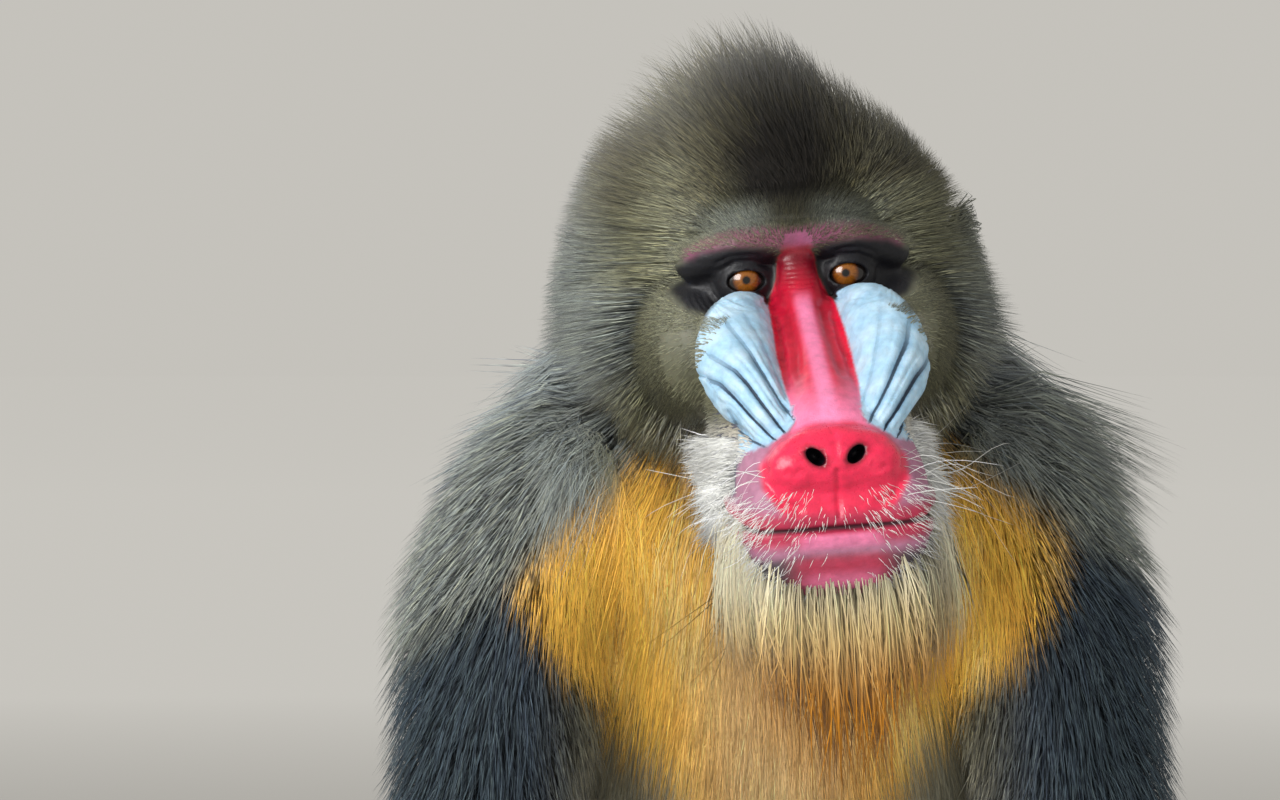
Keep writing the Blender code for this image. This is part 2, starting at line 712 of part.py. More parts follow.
def paw(name, back, front, wide, thick, digits, radius, thumb, arch, way):
    """A hand or foot flat on the floor: palm, four digits with bent joints, and a thumb."""
    aim = (front - back).normalized()
    ahead = Vector((aim.x, aim.y, 0)).normalized()
    across = ahead.cross(UP).normalized()
    sections = [(back.lerp(front, t), wide * w, thick * h, 0.0) for t, w, h in PALM_SECTIONS]
    pieces = [loft(name, sections, front=UP, share=0, sides=10, steps=1, power=0.85)]
    low = radius * FLOOR_SINK
    middle = (len(digits) - 1) / 2
    for k, length in enumerate(digits):
        offset = (k - middle) / middle * wide * DIGIT_SPREAD
        root = front - ahead * DIGIT_ROOT - across * offset
        fan = (ahead - across * (k - middle) * DIGIT_FAN).normalized()
        path = [Vector((*root.xy, front.z))]
        for t, lift in zip(DIGIT_JOINTS, (arch, arch * 0.6, 0)):
            joint = root + fan * (DIGIT_ROOT + length * t)
            path.append(Vector((*joint.xy, low + lift)))
        pieces.append(tube("digit", path, [radius * r for r in DIGIT_RADII], 1, 1))
    base, reach = thumb
    root = back.lerp(front, base) + across * wide * 0.55
    aside = (ahead * THUMB_AIM[0] + across * THUMB_AIM[1]).normalized()
    path = (
        root,
        Vector((*(root + aside * reach * 0.5).xy, radius)),
        Vector((*(root + aside * reach).xy, low)),
    )
    pieces.append(tube("thumb", path, [radius * r for r in THUMB_RADII], 2, 1))
    if way < 0:
        pieces = [moved(piece, MIRROR) for piece in pieces]
    return name, pieces


def make_limbs():
    """Arms, hands, legs, feet and tail, nearest the trunk first."""
    made = []
    arm_rows = (
        (0.12, 0, 190, 3, 0.060, 0.044, 0.19),
        (0.36, -20, 200, 4, 0.054, 0.038, 0.20),
        (0.62, -10, 200, 3, 0.048, 0.040, 0.19),
    )
    fore_rows = ((0.16, 20, 240, 4, 0.044, 0.034, 0.24), (0.46, 40, 240, 3, 0.038, 0.030, 0.22))
    thigh_rows = ((0.36, 50, 200, 3, 0.044, 0.042, 0.24), (0.66, 50, 200, 3, 0.040, 0.036, 0.22))
    for way, side in ((1, "l"), (-1, "r")):
        made += make_limb((f"upper_arm_{side}", f"forearm_{side}"), (UPPER_ARM, FOREARM), way,
                          ELBOW_CUT, (arm_rows, fore_rows))
        made.append(paw(f"hand_{side}", PALM_BACK, PALM_FRONT, PALM_WIDE, PALM_THICK, FINGERS,
                        FINGER_RADIUS, FINGER_THUMB, FINGER_ARCH, way))
        made += make_limb((f"thigh_{side}", f"shin_{side}"), (THIGH, SHIN), way,
                          KNEE_CUT, (thigh_rows, ()))
        made.append(paw(f"foot_{side}", FOOT_BACK, FOOT_FRONT, FOOT_WIDE, FOOT_THICK, TOES,
                        TOE_RADIUS, TOE_THUMB, TOE_ARCH, way))
    made.append(("tail", [loft("tail", TAIL, share=FULL, sides=10, steps=2)]))
    return made


def muzzle_outline(forward, top, bottom, wide, dorsum, count):
    """One upright section of the muzzle: boxy, and narrower along the top."""
    middle, half = (top + bottom) / 2, (top - bottom) / 2
    points = []
    for k in range(count):
        turn = 2 * math.pi * (k + 0.5) / count
        c, s = math.cos(turn), math.sin(turn)
        c = math.copysign(abs(c) ** MUZZLE_SQUARE, c)
        s = math.copysign(abs(s) ** MUZZLE_SQUARE, s)
        narrow = 1 - (1 - dorsum) * max(0.0, s) ** 2
        points.append(Vector((wide * c * narrow, -forward, middle + half * s)))
    return points


def muzzle_form(name, grow=0.0, count=16):
    """Both jaws as one closed loft of upright sections with a rounded front."""
    bm = bmesh.new()
    rings = []
    for forward, top, bottom, wide, dorsum in MUZZLE:
        outline = muzzle_outline(forward, top + grow, bottom - grow, wide + grow, dorsum, count)
        rings.append([bm.verts.new(p) for p in outline])
    forward, top, bottom, wide, dorsum = MUZZLE[-1]
    middle, half = (top + bottom) / 2, (top - bottom) / 2 + grow
    for k in (0.5, 0.85):
        shrink = math.sqrt(1 - k * k)
        tall = half * (shrink * 0.5 + 0.5)
        outline = muzzle_outline(forward + MUZZLE_BULGE * k, middle + tall, middle - tall,
                                 (wide + grow) * (shrink * 0.6 + 0.4), dorsum, count)
        rings.append([bm.verts.new(p) for p in outline])
    for first, second in zip(rings, rings[1:]):
        bridge(bm, first, second)
    bm.faces.new(rings[0])
    bm.faces.new(rings[-1])
    return from_bmesh(name, bm)


def mouth_line(forward):
    """Height of the lip line at a distance forward of the eyes."""
    t = (forward - MOUTH_REACH) / (MOUTH_FRONT_REACH - MOUTH_REACH)
    return MOUTH_CORNER + (MOUTH_FRONT - MOUTH_CORNER) * t


def jaw_wedge(above):
    """The space above or below the lip line, as a cutter."""
    sign = 1 if above else -1
    bm = bmesh.new()
    profile = [(f, mouth_line(f)) for f in (-REACH, REACH)]
    sides = (-REACH, REACH)
    edge = [bm.verts.new((x, -f, z + sign * GAP / 2)) for f, z in profile for x in sides]
    far = [bm.verts.new((x, -f, z + sign * 2 * REACH)) for f, z in profile for x in sides]
    for a, b in ((0, 1), (1, 3), (3, 2), (2, 0)):
        bm.faces.new((edge[a], edge[b], far[b], far[a]))
    bm.faces.new([edge[i] for i in (0, 1, 3, 2)])
    bm.faces.new([far[i] for i in (0, 1, 3, 2)])
    return from_bmesh("wedge", bm)


def lip(name, drop, radius):
    """A soft roll round the muzzle beside the lip line, its ends sunk in the cheeks."""
    path = []
    for x, forward in LIP_PATH:
        path.append(Vector((x, -forward, mouth_line(forward) + drop)))
    path += [Vector((-p.x, *p.yz)) for p in reversed(path[:-1])]
    return tube(name, path, [radius] * len(path), 1, 1)


def swelling(way, side):
    """The ribbed blue swelling of one side, its ribs raised in the loft's own surface."""
    rows = smooth_sections(SWELLING, 1)
    bm = bmesh.new()
    rings = []
    outline = swelling_outline()
    for i, (centre, radius) in enumerate(rows):
        before, after = rows[max(i - 1, 0)][0], rows[min(i + 1, len(rows) - 1)][0]
        along = (after - before).normalized()
        out = SWELLING_OUT - along * SWELLING_OUT.dot(along)
        out.normalize()
        aside = out.cross(along).normalized()
        ring = []
        for turn, share in outline:
            place = centre + (out * math.cos(turn) + aside * math.sin(turn)) * radius * share
            ring.append(bm.verts.new((way * place.x, place.y, place.z)))
        rings.append(ring)
    for first, second in zip(rings, rings[1:]):
        bridge(bm, first, second)
    for ring in (rings[0], rings[-1]):
        middle = sum((v.co for v in ring), Vector()) / len(ring)
        end = bm.verts.new(middle)
        for k, vert in enumerate(ring):
            bm.faces.new((vert, ring[(k + 1) % len(ring)], end))
    return from_bmesh(f"swelling_{side}", bm)


def swelling_outline():
    """Angle and share of the radius round the swelling: crests and grooves, then a plain back."""
    first, last = SWELLING_ARC
    steps = SWELLING_RIBS * 2
    points = []
    for k in range(steps + 1):
        groove = k % 2 == 0
        share = 1 - SWELLING_GROOVE if groove else 1.0
        points.append((first + (last - first) * k / steps, share))
    rest = 2 * math.pi - (last - first)
    for k in range(1, 4):
        points.append((last + rest * k / 4, 0.8))
    return points


def lids(way):
    """Upper and lower lid: two rolls that close over the eyeball's edge."""
    made = []
    over = EYE_RADIUS + LID_CLEAR
    for height in LID_HEIGHTS:
        path = []
        for k in range(LID_POINTS):
            t = k / (LID_POINTS - 1) * 2 - 1
            aside, z = t * LID_WIDE, height * (1 - t * t)
            y = EYE_DEPTH - math.sqrt(over ** 2 - aside ** 2 - z ** 2)
            path.append(Vector((way * (EYE_X + aside), y, z + math.copysign(LID_RADIUS / 2, height))))
        made.append(tube("lid", path, [LID_RADIUS] * LID_POINTS, 2, 1))
    return made


def ear(way, side):
    """A naked ear: a thin rounded cup with a rolled rim, a little pointed at the top."""
    (x, y, z), (thick, deep, tall) = EAR
    bm = bmesh.new()
    rings = []
    for share, bulge in EAR_RINGS:
        ring = []
        for k in range(EAR_SIDES):
            turn = 2 * math.pi * k / EAR_SIDES
            c, s = math.cos(turn), math.sin(turn)
            out = thick * (1 - bulge) + EAR_FLARE * deep * c * share
            point = EAR_POINT * max(0.0, s) ** 4
            ring.append(bm.verts.new((x + out, y + deep * share * c, z + tall * share * (s + point))))
        rings.append(ring)
    for first, second in zip(rings, rings[1:]):
        bridge(bm, first, second)
    bm.faces.new(rings[-1])
    cup = from_bmesh("cup", bm)
    shell = cup.modifiers.new("Solidify", "SOLIDIFY")
    shell.thickness = EAR_WALL
    shell.offset = 0
    stem = ellipsoid("stem", (x - EAR_STEM[0], y, z), EAR_STEM, 8, 6)
    pieces = [as_mesh(cup), stem]
    if way < 0:
        pieces = [moved(piece, MIRROR) for piece in pieces]
    return f"ear_{side}", pieces


def head_matrix():
    """From the head's own frame to the animal's."""
    turn = Euler((0, HEAD_ROLL, HEAD_YAW), "XYZ").to_matrix().to_4x4()
    return Matrix.Translation(EYES) @ turn


def cheeks():
    """The two cheeks under their short hair."""
    (x, y, z), radii = CHEEK
    radii = [r + CHEEK_HAIR for r in radii]
    return [ellipsoid("cheek", (way * x, y, z), radii, 20, 14) for way in (1, -1)]


def cranium_core():
    """The braincase with the core of its coat, which thins out towards the face."""
    (x, y, z), (wide, deep, tall) = CRANIUM
    radii = (wide + HAIR_CORE, deep + HAIR_CORE / 2, tall + HAIR_CORE)
    return ellipsoid("cranium", (x, y + HAIR_CORE / 2, z), radii, 28, 20)


def open_eyes(head):
    """The head's core with an opening for each eye, and the lids round it."""
    openings = []
    rims = []
    for way in (1, -1):
        place = Vector((way * EYE_X, EYE_DEPTH - EYE_RADIUS, 0))
        openings.append(ellipsoid("opening", place, EYE_OPENING, 12, 8))
        rims += lids(way)
    openings = [moved(piece, head_matrix()) for piece in openings]
    rims = [moved(piece, head_matrix()) for piece in rims]
    return [boolean(head, openings, "DIFFERENCE")] + rims


def head_locks():
    """The crest over the crown and the ruff round the cheeks, in the animal's frame."""
    core = boolean(cranium_core(), cheeks(), "UNION")
    tree = ray_tree(core)
    centre = Vector(CRANIUM[0])
    locks = locks_on_head(tree, centre, (
        (47, 30, 150, 6, 0.038, 0.032, 0.58),
        (66, 24, 156, 7, 0.048, 0.037, 0.76),
        (85, 20, 160, 8, 0.054, 0.038, 0.78),
        (106, 16, 164, 7, 0.056, 0.046, 0.60),
        (129, 6, 174, 5, 0.058, 0.056, 0.36),
    ), UP * 0.5)
    for first, last in ((-66, 26), (154, 246)):
        locks += locks_on_head(tree, centre, (
            (47, first, last, 4, 0.034, 0.028, 0.34),
            (66, first, last, 5, 0.044, 0.034, 0.44),
            (88, first, last, 4, 0.054, 0.044, 0.50),
            (112, first, last, 4, 0.060, 0.050, 0.42),
        ), UP * -0.15)
    bpy.data.objects.remove(core)
    return [moved(piece, head_matrix()) for piece in locks]


def make_face():
    """Eyes, nose, swellings, muzzle, jaw and ears, in the head's own frame."""
    eyes = []
    for way, side in ((1, "l"), (-1, "r")):
        ball = ellipsoid(f"eye_{side}", (way * EYE_X, EYE_DEPTH, 0), [EYE_RADIUS] * 3, 12, 8)
        eyes.append((f"eye_{side}", [ball]))
    upper = boolean(muzzle_form("muzzle"), [jaw_wedge(True)], "INTERSECT")
    lower = boolean(muzzle_form("jaw", -JAW_INSET), [jaw_wedge(False)], "INTERSECT")
    jaw = [lower, lip("lip", *LOWER_LIP), loft("beard", BEARD, share=0, sides=10, steps=1)]
    solid = fuse("jaw", [add_mesh(piece.name, piece.data.copy()) for piece in jaw])
    tree = ray_tree(solid)
    bpy.data.objects.remove(solid)
    jaw += locks_round(tree, BEARD, (
        (0.30, 52, 308, 6, 0.070, 0.040, -0.10),
        (0.52, -62, 62, 4, 0.062, 0.032, -0.06),
        (0.60, 62, 298, 4, 0.060, 0.040, -0.14),
        (0.82, 0, 360, 4, 0.046, 0.028, -0.05),
    ), BEARD_TIP)
    nose = ellipsoid("nose", *NOSE, 12, 8)
    holes = []
    for way in (1, -1):
        (x, y, z), radii = NOSTRIL
        holes.append(ellipsoid("hole", (way * x, y, z), radii, 8, 6, (0, way * 0.5, 0)))
    nose = boolean(nose, holes, "DIFFERENCE")
    nodes = [*eyes, ("nose", [nose])]
    nodes += [("swelling_l", [swelling(1, "l")]), ("swelling_r", [swelling(-1, "r")])]
    nodes += [("muzzle", [upper, lip("lip", *UPPER_LIP)]), ("jaw", jaw)]
    ears = [ear(1, "l"), ear(-1, "r")]
    for _, pieces in nodes + ears:
        for piece in pieces:
            moved(piece, head_matrix())
    return nodes, ears


def part_nodes(nodes):
    """Fuse each node's pieces and trim them by the nodes before, with a thin gap between."""
    done, taken = [], []
    for name, pieces in nodes:
        copies = [add_mesh(piece.name, piece.data.copy()) for piece in pieces]
        node = fuse(name, copies)
        reach = bounds_of(node)
        cutters = [grown(piece, GAP) for piece, room in taken if near(reach, room)]
        if cutters:
            node = boolean(node, cutters, "DIFFERENCE")
        done.append((name, node))
        taken += [(piece, bounds_of(piece)) for piece in pieces]
    for piece, _ in taken:
        bpy.data.objects.remove(piece)
    for name, node in done:
        node.name = name
    return [node for _, node in done]


def ground(nodes):
    """Cut what touches the floor flat at floor level."""
    done = []
    for node in nodes:
        name = node.name
        if min(v.co.z for v in node.data.vertices) < 0:
            node = boolean(node, [box("below", (-1, -1, -1), (1, 1, 0))], "DIFFERENCE")
            node.name = name
        done.append(node)
    return done


PAINT = {"eye": "amber", "nose": "red", "swelling": "blue", "jaw": "cream", "muzzle": "red",
         "ear": "skin", "hand": "skin", "foot": "skin", "chest": "gold", "belly": "olive",
         "upper": "slate", "forearm": "slate"}


def paint(nodes):
    """Give each node its material and shade it smooth."""
    for node in nodes:
        node.data.materials.clear()
        node.data.materials.append(material(PAINT.get(node.name.split("_")[0], "olive")))
        node.data.shade_smooth()
        node.data.set_sharp_from_angle(angle=math.radians(40))


clear_scene()
animal = new_collection("mandrill")
face_nodes, ear_nodes = make_face()
paint(ground(part_nodes(face_nodes + make_body() + ear_nodes + make_limbs())))
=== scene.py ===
"""A life-size adult male mandrill, seated: skin, coat, eyes, nails and whiskers over its solids.

Metres, +Z up. The animal faces -Y and its left side is +X. One skin is blended from the same
sections that the solids are grown from, without their coat. The coat is closed flat tufts that
follow the lie of the hair, and skin and coat take their colours from one set of markings.
"""

import logging
import math
from collections.abc import Callable
from dataclasses import dataclass, field
from enum import Enum

import bmesh
import bpy
import numpy as np
from bmesh.types import BMesh, BMVert
from bpy.types import ID, Material, Mesh, Node, NodeSocket, Object
from mathutils import Euler, Matrix, Vector
from mathutils.kdtree import KDTree


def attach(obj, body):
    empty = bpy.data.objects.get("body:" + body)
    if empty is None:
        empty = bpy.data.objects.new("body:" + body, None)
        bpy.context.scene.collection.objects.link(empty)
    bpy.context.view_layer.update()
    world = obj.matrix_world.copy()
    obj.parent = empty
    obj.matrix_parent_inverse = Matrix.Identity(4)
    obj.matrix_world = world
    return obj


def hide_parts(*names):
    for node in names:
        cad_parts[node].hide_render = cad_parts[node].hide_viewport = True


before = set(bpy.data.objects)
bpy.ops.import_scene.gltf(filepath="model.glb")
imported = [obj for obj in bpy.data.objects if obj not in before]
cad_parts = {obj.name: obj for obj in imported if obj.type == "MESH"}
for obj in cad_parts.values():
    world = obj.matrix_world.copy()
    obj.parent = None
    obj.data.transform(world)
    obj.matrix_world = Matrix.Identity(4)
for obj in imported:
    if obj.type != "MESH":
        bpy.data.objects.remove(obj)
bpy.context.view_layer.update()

Array = np.ndarray
log = logging.getLogger("mandrill")
MM = 0.001
QUICK_SHARE = 4         # how many times fewer tufts a quick build has
BAKE_MAP = "OFBake"
TUFT_PATCH = 0.003      # how wide one tuft is on the bake map
MOST_TRIANGLES = 190_000    # in one piece of the coat
MIRROR = Matrix.Scale(-1, 4, Vector((1, 0, 0)))


def srgb(code: str) -> Array:
    """Turn a hex colour into linear values.

    Args:
        code: Six hex digits, with or without a leading hash.

    Returns:
        Three linear values from 0 to 1.
    """
    code = code.lstrip("#")
    values = np.array([int(code[i:i + 2], 16) / 255 for i in (0, 2, 4)])
    return np.where(values <= 0.04045, values / 12.92, ((values + 0.055) / 1.055) ** 2.4)


def ramp(value: Array, low: float, high: float) -> Array:
    """A soft ramp from 0 at low to 1 at high."""
    t = np.clip((value - low) / (high - low), 0, 1)
    return t * t * (3 - 2 * t)


def unit(vectors: Array) -> Array:
    """The vectors at length 1."""
    return vectors / np.maximum(np.linalg.norm(vectors, axis=-1, keepdims=True), 1e-9)


def ripple(points: Array, size: float, seed: int) -> Array:
    """Smooth vector noise from sums of sines.

    Args:
        points: Places, one row each.
        size: Width of one wave in metres.
        seed: Picks the waves.

    Returns:
        One vector of about unit size for each place.
    """
    rng = np.random.default_rng(seed)
    out = np.zeros_like(points)
    for octave in range(3):
        waves = rng.normal(size=(3, 3)) * (2 ** octave) * 2.2 / size
        phases = rng.uniform(0, 2 * np.pi, 3)
        out += np.sin(points @ waves.T + phases) / (1.5 ** octave)
    return out / 1.8


def segment_distance(points: Array, line: Array) -> tuple[Array, Array]:
    """Distance from each place to an open polyline.

    Args:
        points: Places, in two or three dimensions.
        line: The polyline's corners.

    Returns:
        The distances, and how far along the polyline the nearest place lies, from 0 to 1.
    """
    best = np.full(len(points), 1e9)
    where = np.zeros(len(points))
    spans = len(line) - 1
    for i in range(spans):
        start, step = line[i], line[i + 1] - line[i]
        t = np.clip(((points - start) @ step) / max(float(step @ step), 1e-12), 0, 1)
        gap = np.linalg.norm(points - start - t[:, None] * step, axis=1)
        nearer = gap < best
        best = np.where(nearer, gap, best)
        where = np.where(nearer, (i + t) / spans, where)
    return best, where


def inside(points: Array, outline: Array, soft: float) -> Array:
    """How far inside a closed outline each place of a plane lies, softened at its edge.

    Args:
        points: Places in the plane.
        outline: Corners of the outline.
        soft: Width of the soft edge in metres.

    Returns:
        1 well inside and 0 well outside.
    """
    ring = np.vstack([outline, outline[:1]])
    gap, _ = segment_distance(points, ring)
    odd = np.zeros(len(points), bool)
    for (ax, az), (bx, bz) in zip(ring, ring[1:]):
        if az == bz:
            continue
        crosses = (az > points[:, 1]) != (bz > points[:, 1])
        at = ax + (points[:, 1] - az) * (bx - ax) / (bz - az)
        odd ^= crosses & (points[:, 0] < at)
    return ramp(np.where(odd, gap, -gap), -soft / 2, soft / 2)


def mirrored_outline(half: tuple) -> Array:
    """A closed outline from the corners of its half at +x, top to bottom."""
    right = np.array(half)
    left = right[::-1] * (-1, 1)
    return np.vstack([right, left])


# Meshes


def link(name: str, data: ID) -> Object:
    """A new object on this mesh, lamp or camera, linked to the scene."""
    obj = bpy.data.objects.new(name, data)
    bpy.context.scene.collection.objects.link(obj)
    return obj


def from_bmesh(name: str, bm: BMesh) -> Object:
    """A new object from a bmesh with its faces turned out."""
    bmesh.ops.recalc_face_normals(bm, faces=bm.faces)
    mesh = bpy.data.meshes.new(name)
    bm.to_mesh(mesh)
    bm.free()
    return link(name, mesh)


def moved(obj: Object, matrix: Matrix) -> Object:
    """The object with its mesh moved by a matrix."""
    obj.data.transform(matrix)
    if matrix.determinant() < 0:
        obj.data.flip_normals()
    return obj


def ellipsoid(centre: tuple, radii: tuple, sides: int = 40, rings: int = 26,
              turn: tuple = (0, 0, 0)) -> Object:
    """A UV sphere scaled to three radii.

    Args:
        centre: Its middle.
        radii: Its three half sizes.
        sides: Faces round it.
        rings: Faces from pole to pole.
        turn: How it is turned, in radians.

    Returns:
        The new object.
    """
    bm = bmesh.new()
    bmesh.ops.create_uvsphere(bm, u_segments=sides, v_segments=rings, radius=1)
    bm.transform(Matrix.LocRotScale(Vector(centre), Euler(turn), Vector(radii)))
    return from_bmesh("ellipsoid", bm)


def smooth_sections(sections: tuple, steps: int) -> list[tuple]:
    """The sections with more between them, on a Catmull-Rom curve.

    Args:
        sections: Each one's centre and then its sizes.
        steps: How many sections one becomes.

    Returns:
        The sections in their order, with each centre as a vector.
    """
    rows = [(*s[0], *s[1:]) for s in sections]
    out = []
    for i in range(len(rows) - 1):
        before, after = rows[max(i - 1, 0)], rows[min(i + 2, len(rows) - 1)]
        for step in range(steps):
            t = step / steps
            out.append(tuple(
                0.5 * (2 * b + (c - a) * t + (2 * a - 5 * b + 4 * c - d) * t * t
                       + (3 * b - a - 3 * c + d) * t ** 3)
                for a, b, c, d in zip(before, rows[i], rows[i + 1], after)
            ))
    out.append(rows[-1])
    return [(Vector(r[:3]), *r[3:]) for r in out]


def sided(sections: tuple, way: int) -> tuple:
    """Sections of the left side for a side: 1 left, -1 right."""
    return tuple(((way * c[0], c[1], c[2]), *rest) for c, *rest in sections)


def bridge(bm: BMesh, first: list, second: list) -> None:
    """Faces between two rings of one count."""
    count = len(first)
    for k in range(count):
        n = (k + 1) % count
        bm.faces.new((first[k], first[n], second[n], second[k]))


def close(bm: BMesh, rings: list) -> None:
    """Join rings in their order and fill the first and the last."""
    for first, second in zip(rings, rings[1:]):
        bridge(bm, first, second)
    bm.faces.new(rings[0])
    bm.faces.new(rings[-1])


def round_turns(count: int, power: float) -> list[tuple]:
    """Cosine and sine at the corners of a ring, which a power under 1 makes boxy."""
    turns = [2 * math.pi * (k + 0.5) / count for k in range(count)]
    return [tuple(math.copysign(abs(v) ** power, v) for v in (math.cos(turn), math.sin(turn)))
            for turn in turns]


def loft(sections: tuple, front: tuple = (0, -1, 0), sides: int = 28, steps: int = 6,
         power: float = 1.0) -> Object:
    """A closed tube of elliptic sections with rounded ends.

    Args:
        sections: Centre, half width, half depth and coat depth of each section.
        front: The way that a section's depth faces.
        sides: Points round each ring.
        steps: Rings between two sections.
        power: Under 1 squares each ring's corners.

    Returns:
        The new object.
    """
    rows = smooth_sections(sections, steps)
    bm = bmesh.new()
    rings = []
    for i, (centre, wide, deep, _) in enumerate(rows):
        before, after = rows[max(i - 1, 0)][0], rows[min(i + 1, len(rows) - 1)][0]
        along = (after - before).normalized()
        side = Vector(front).cross(along).normalized()
        depth = along.cross(side).normalized()
        caps = [0.0]
        if i == 0:
            caps = [-0.95, -0.8, -0.5, 0.0]
        if i == len(rows) - 1:
            caps = [0.0, 0.5, 0.8, 0.95]
        for cap in caps:
            shrink = math.sqrt(1 - cap * cap)
            middle = centre + along * cap * min(wide, deep)
            rings.append([bm.verts.new(middle + side * (c * wide * shrink)
                                       + depth * (s * deep * shrink))
                          for c, s in round_turns(sides, power)])
    close(bm, rings)
    return from_bmesh("loft", bm)


def rounded_tube(points: list, radii: list, sides: int = 16) -> Object:
    """A loft of round sections along some points, one radius for each.

    Args:
        points: The middles of the sections.
        radii: Their radii.
        sides: Points round each.

    Returns:
        The new object.
    """
    aim = Vector(points[-1]) - Vector(points[0])
    front = (0, 0, 1) if abs(aim.normalized().z) < 0.8 else (0, -1, 0)
    rows = tuple((tuple(p), r, r, 0.0) for p, r in zip(points, radii))
    return loft(rows, front=front, sides=sides, steps=4)


def applied(obj: Object) -> Object:
    """The object with its modifiers made part of its mesh."""
    graph = bpy.context.evaluated_depsgraph_get()
    graph.update()
    mesh = bpy.data.meshes.new_from_object(obj.evaluated_get(graph))
    name = obj.name
    bpy.data.objects.remove(obj)
    return link(name, mesh)


def blended(pieces: list, voxel: float, rounds: int, ratio: float = 1.0) -> Object:
    """The pieces as one soft closed form.

    Args:
        pieces: Closed objects, which are removed.
        voxel: Size of the remesh's cells.
        rounds: How often the surface is smoothed.
        ratio: Share of the triangles kept afterwards.

    Returns:
        The new object.
    """
    bm = bmesh.new()
    for piece in pieces:
        bm.from_mesh(piece.data)
        bpy.data.objects.remove(piece)
    obj = from_bmesh("form", bm)
    remesh = obj.modifiers.new("Remesh", "REMESH")
    remesh.mode = "VOXEL"
    remesh.voxel_size = voxel
    smooth = obj.modifiers.new("Smooth", "SMOOTH")
    smooth.factor = 0.5
    smooth.iterations = rounds
    return fewer_faces(obj, ratio)


def fewer_faces(obj: Object, ratio: float) -> Object:
    """The object with its modifiers applied and this share of its triangles kept."""
    if ratio < 1:
        obj.modifiers.new("Decimate", "DECIMATE").ratio = ratio
    return applied(obj)


def boolean(obj: Object, others: list, operation: str) -> Object:
    """Apply one Boolean.

    Args:
        obj: The object that is cut or added to.
        others: Closed objects, which are removed.
        operation: UNION or DIFFERENCE.

    Returns:
        The new object.
    """
    group = bpy.data.collections.new("cutters")
    for other in others:
        for home in list(other.users_collection):
            home.objects.unlink(other)
        group.objects.link(other)
    step = obj.modifiers.new("Boolean", "BOOLEAN")
    step.operation = operation
    step.solver = "MANIFOLD"
    step.operand_type = "COLLECTION"
    step.collection = group
    made = applied(obj)
    for other in others:
        bpy.data.objects.remove(other)
    bpy.data.collections.remove(group)
    return made


def vertex_arrays(mesh: Mesh) -> tuple[Array, Array]:
    """The places and normals of a mesh's vertices."""
    places = np.empty(len(mesh.vertices) * 3)
    normals = np.empty(len(mesh.vertices) * 3)
    mesh.vertices.foreach_get("co", places)
    mesh.vertices.foreach_get("normal", normals)
    return places.reshape(-1, 3), normals.reshape(-1, 3)


def set_places(mesh: Mesh, places: Array) -> None:
    """Move a mesh's vertices to these places."""
    mesh.vertices.foreach_set("co", places.astype(np.float32).ravel())
    mesh.update()


def set_colour(mesh: Mesh, name: str, values: Array) -> None:
    """Store one linear colour for each vertex."""
    layer = mesh.color_attributes.new(name, "FLOAT_COLOR", "POINT")
    rgba = np.ones((len(values), 4), np.float32)
    rgba[:, :3] = values
    layer.data.foreach_set("color", rgba.ravel())


def store(mesh: Mesh, name: str, values: Array) -> None:
    """Store one number or one vector for each vertex."""
    kind, key = ("FLOAT", "value") if values.ndim == 1 else ("FLOAT_VECTOR", "vector")
    layer = mesh.attributes.new(name, kind, "POINT")
    layer.data.foreach_set(key, values.astype(np.float32).ravel())


# The animal's sizes


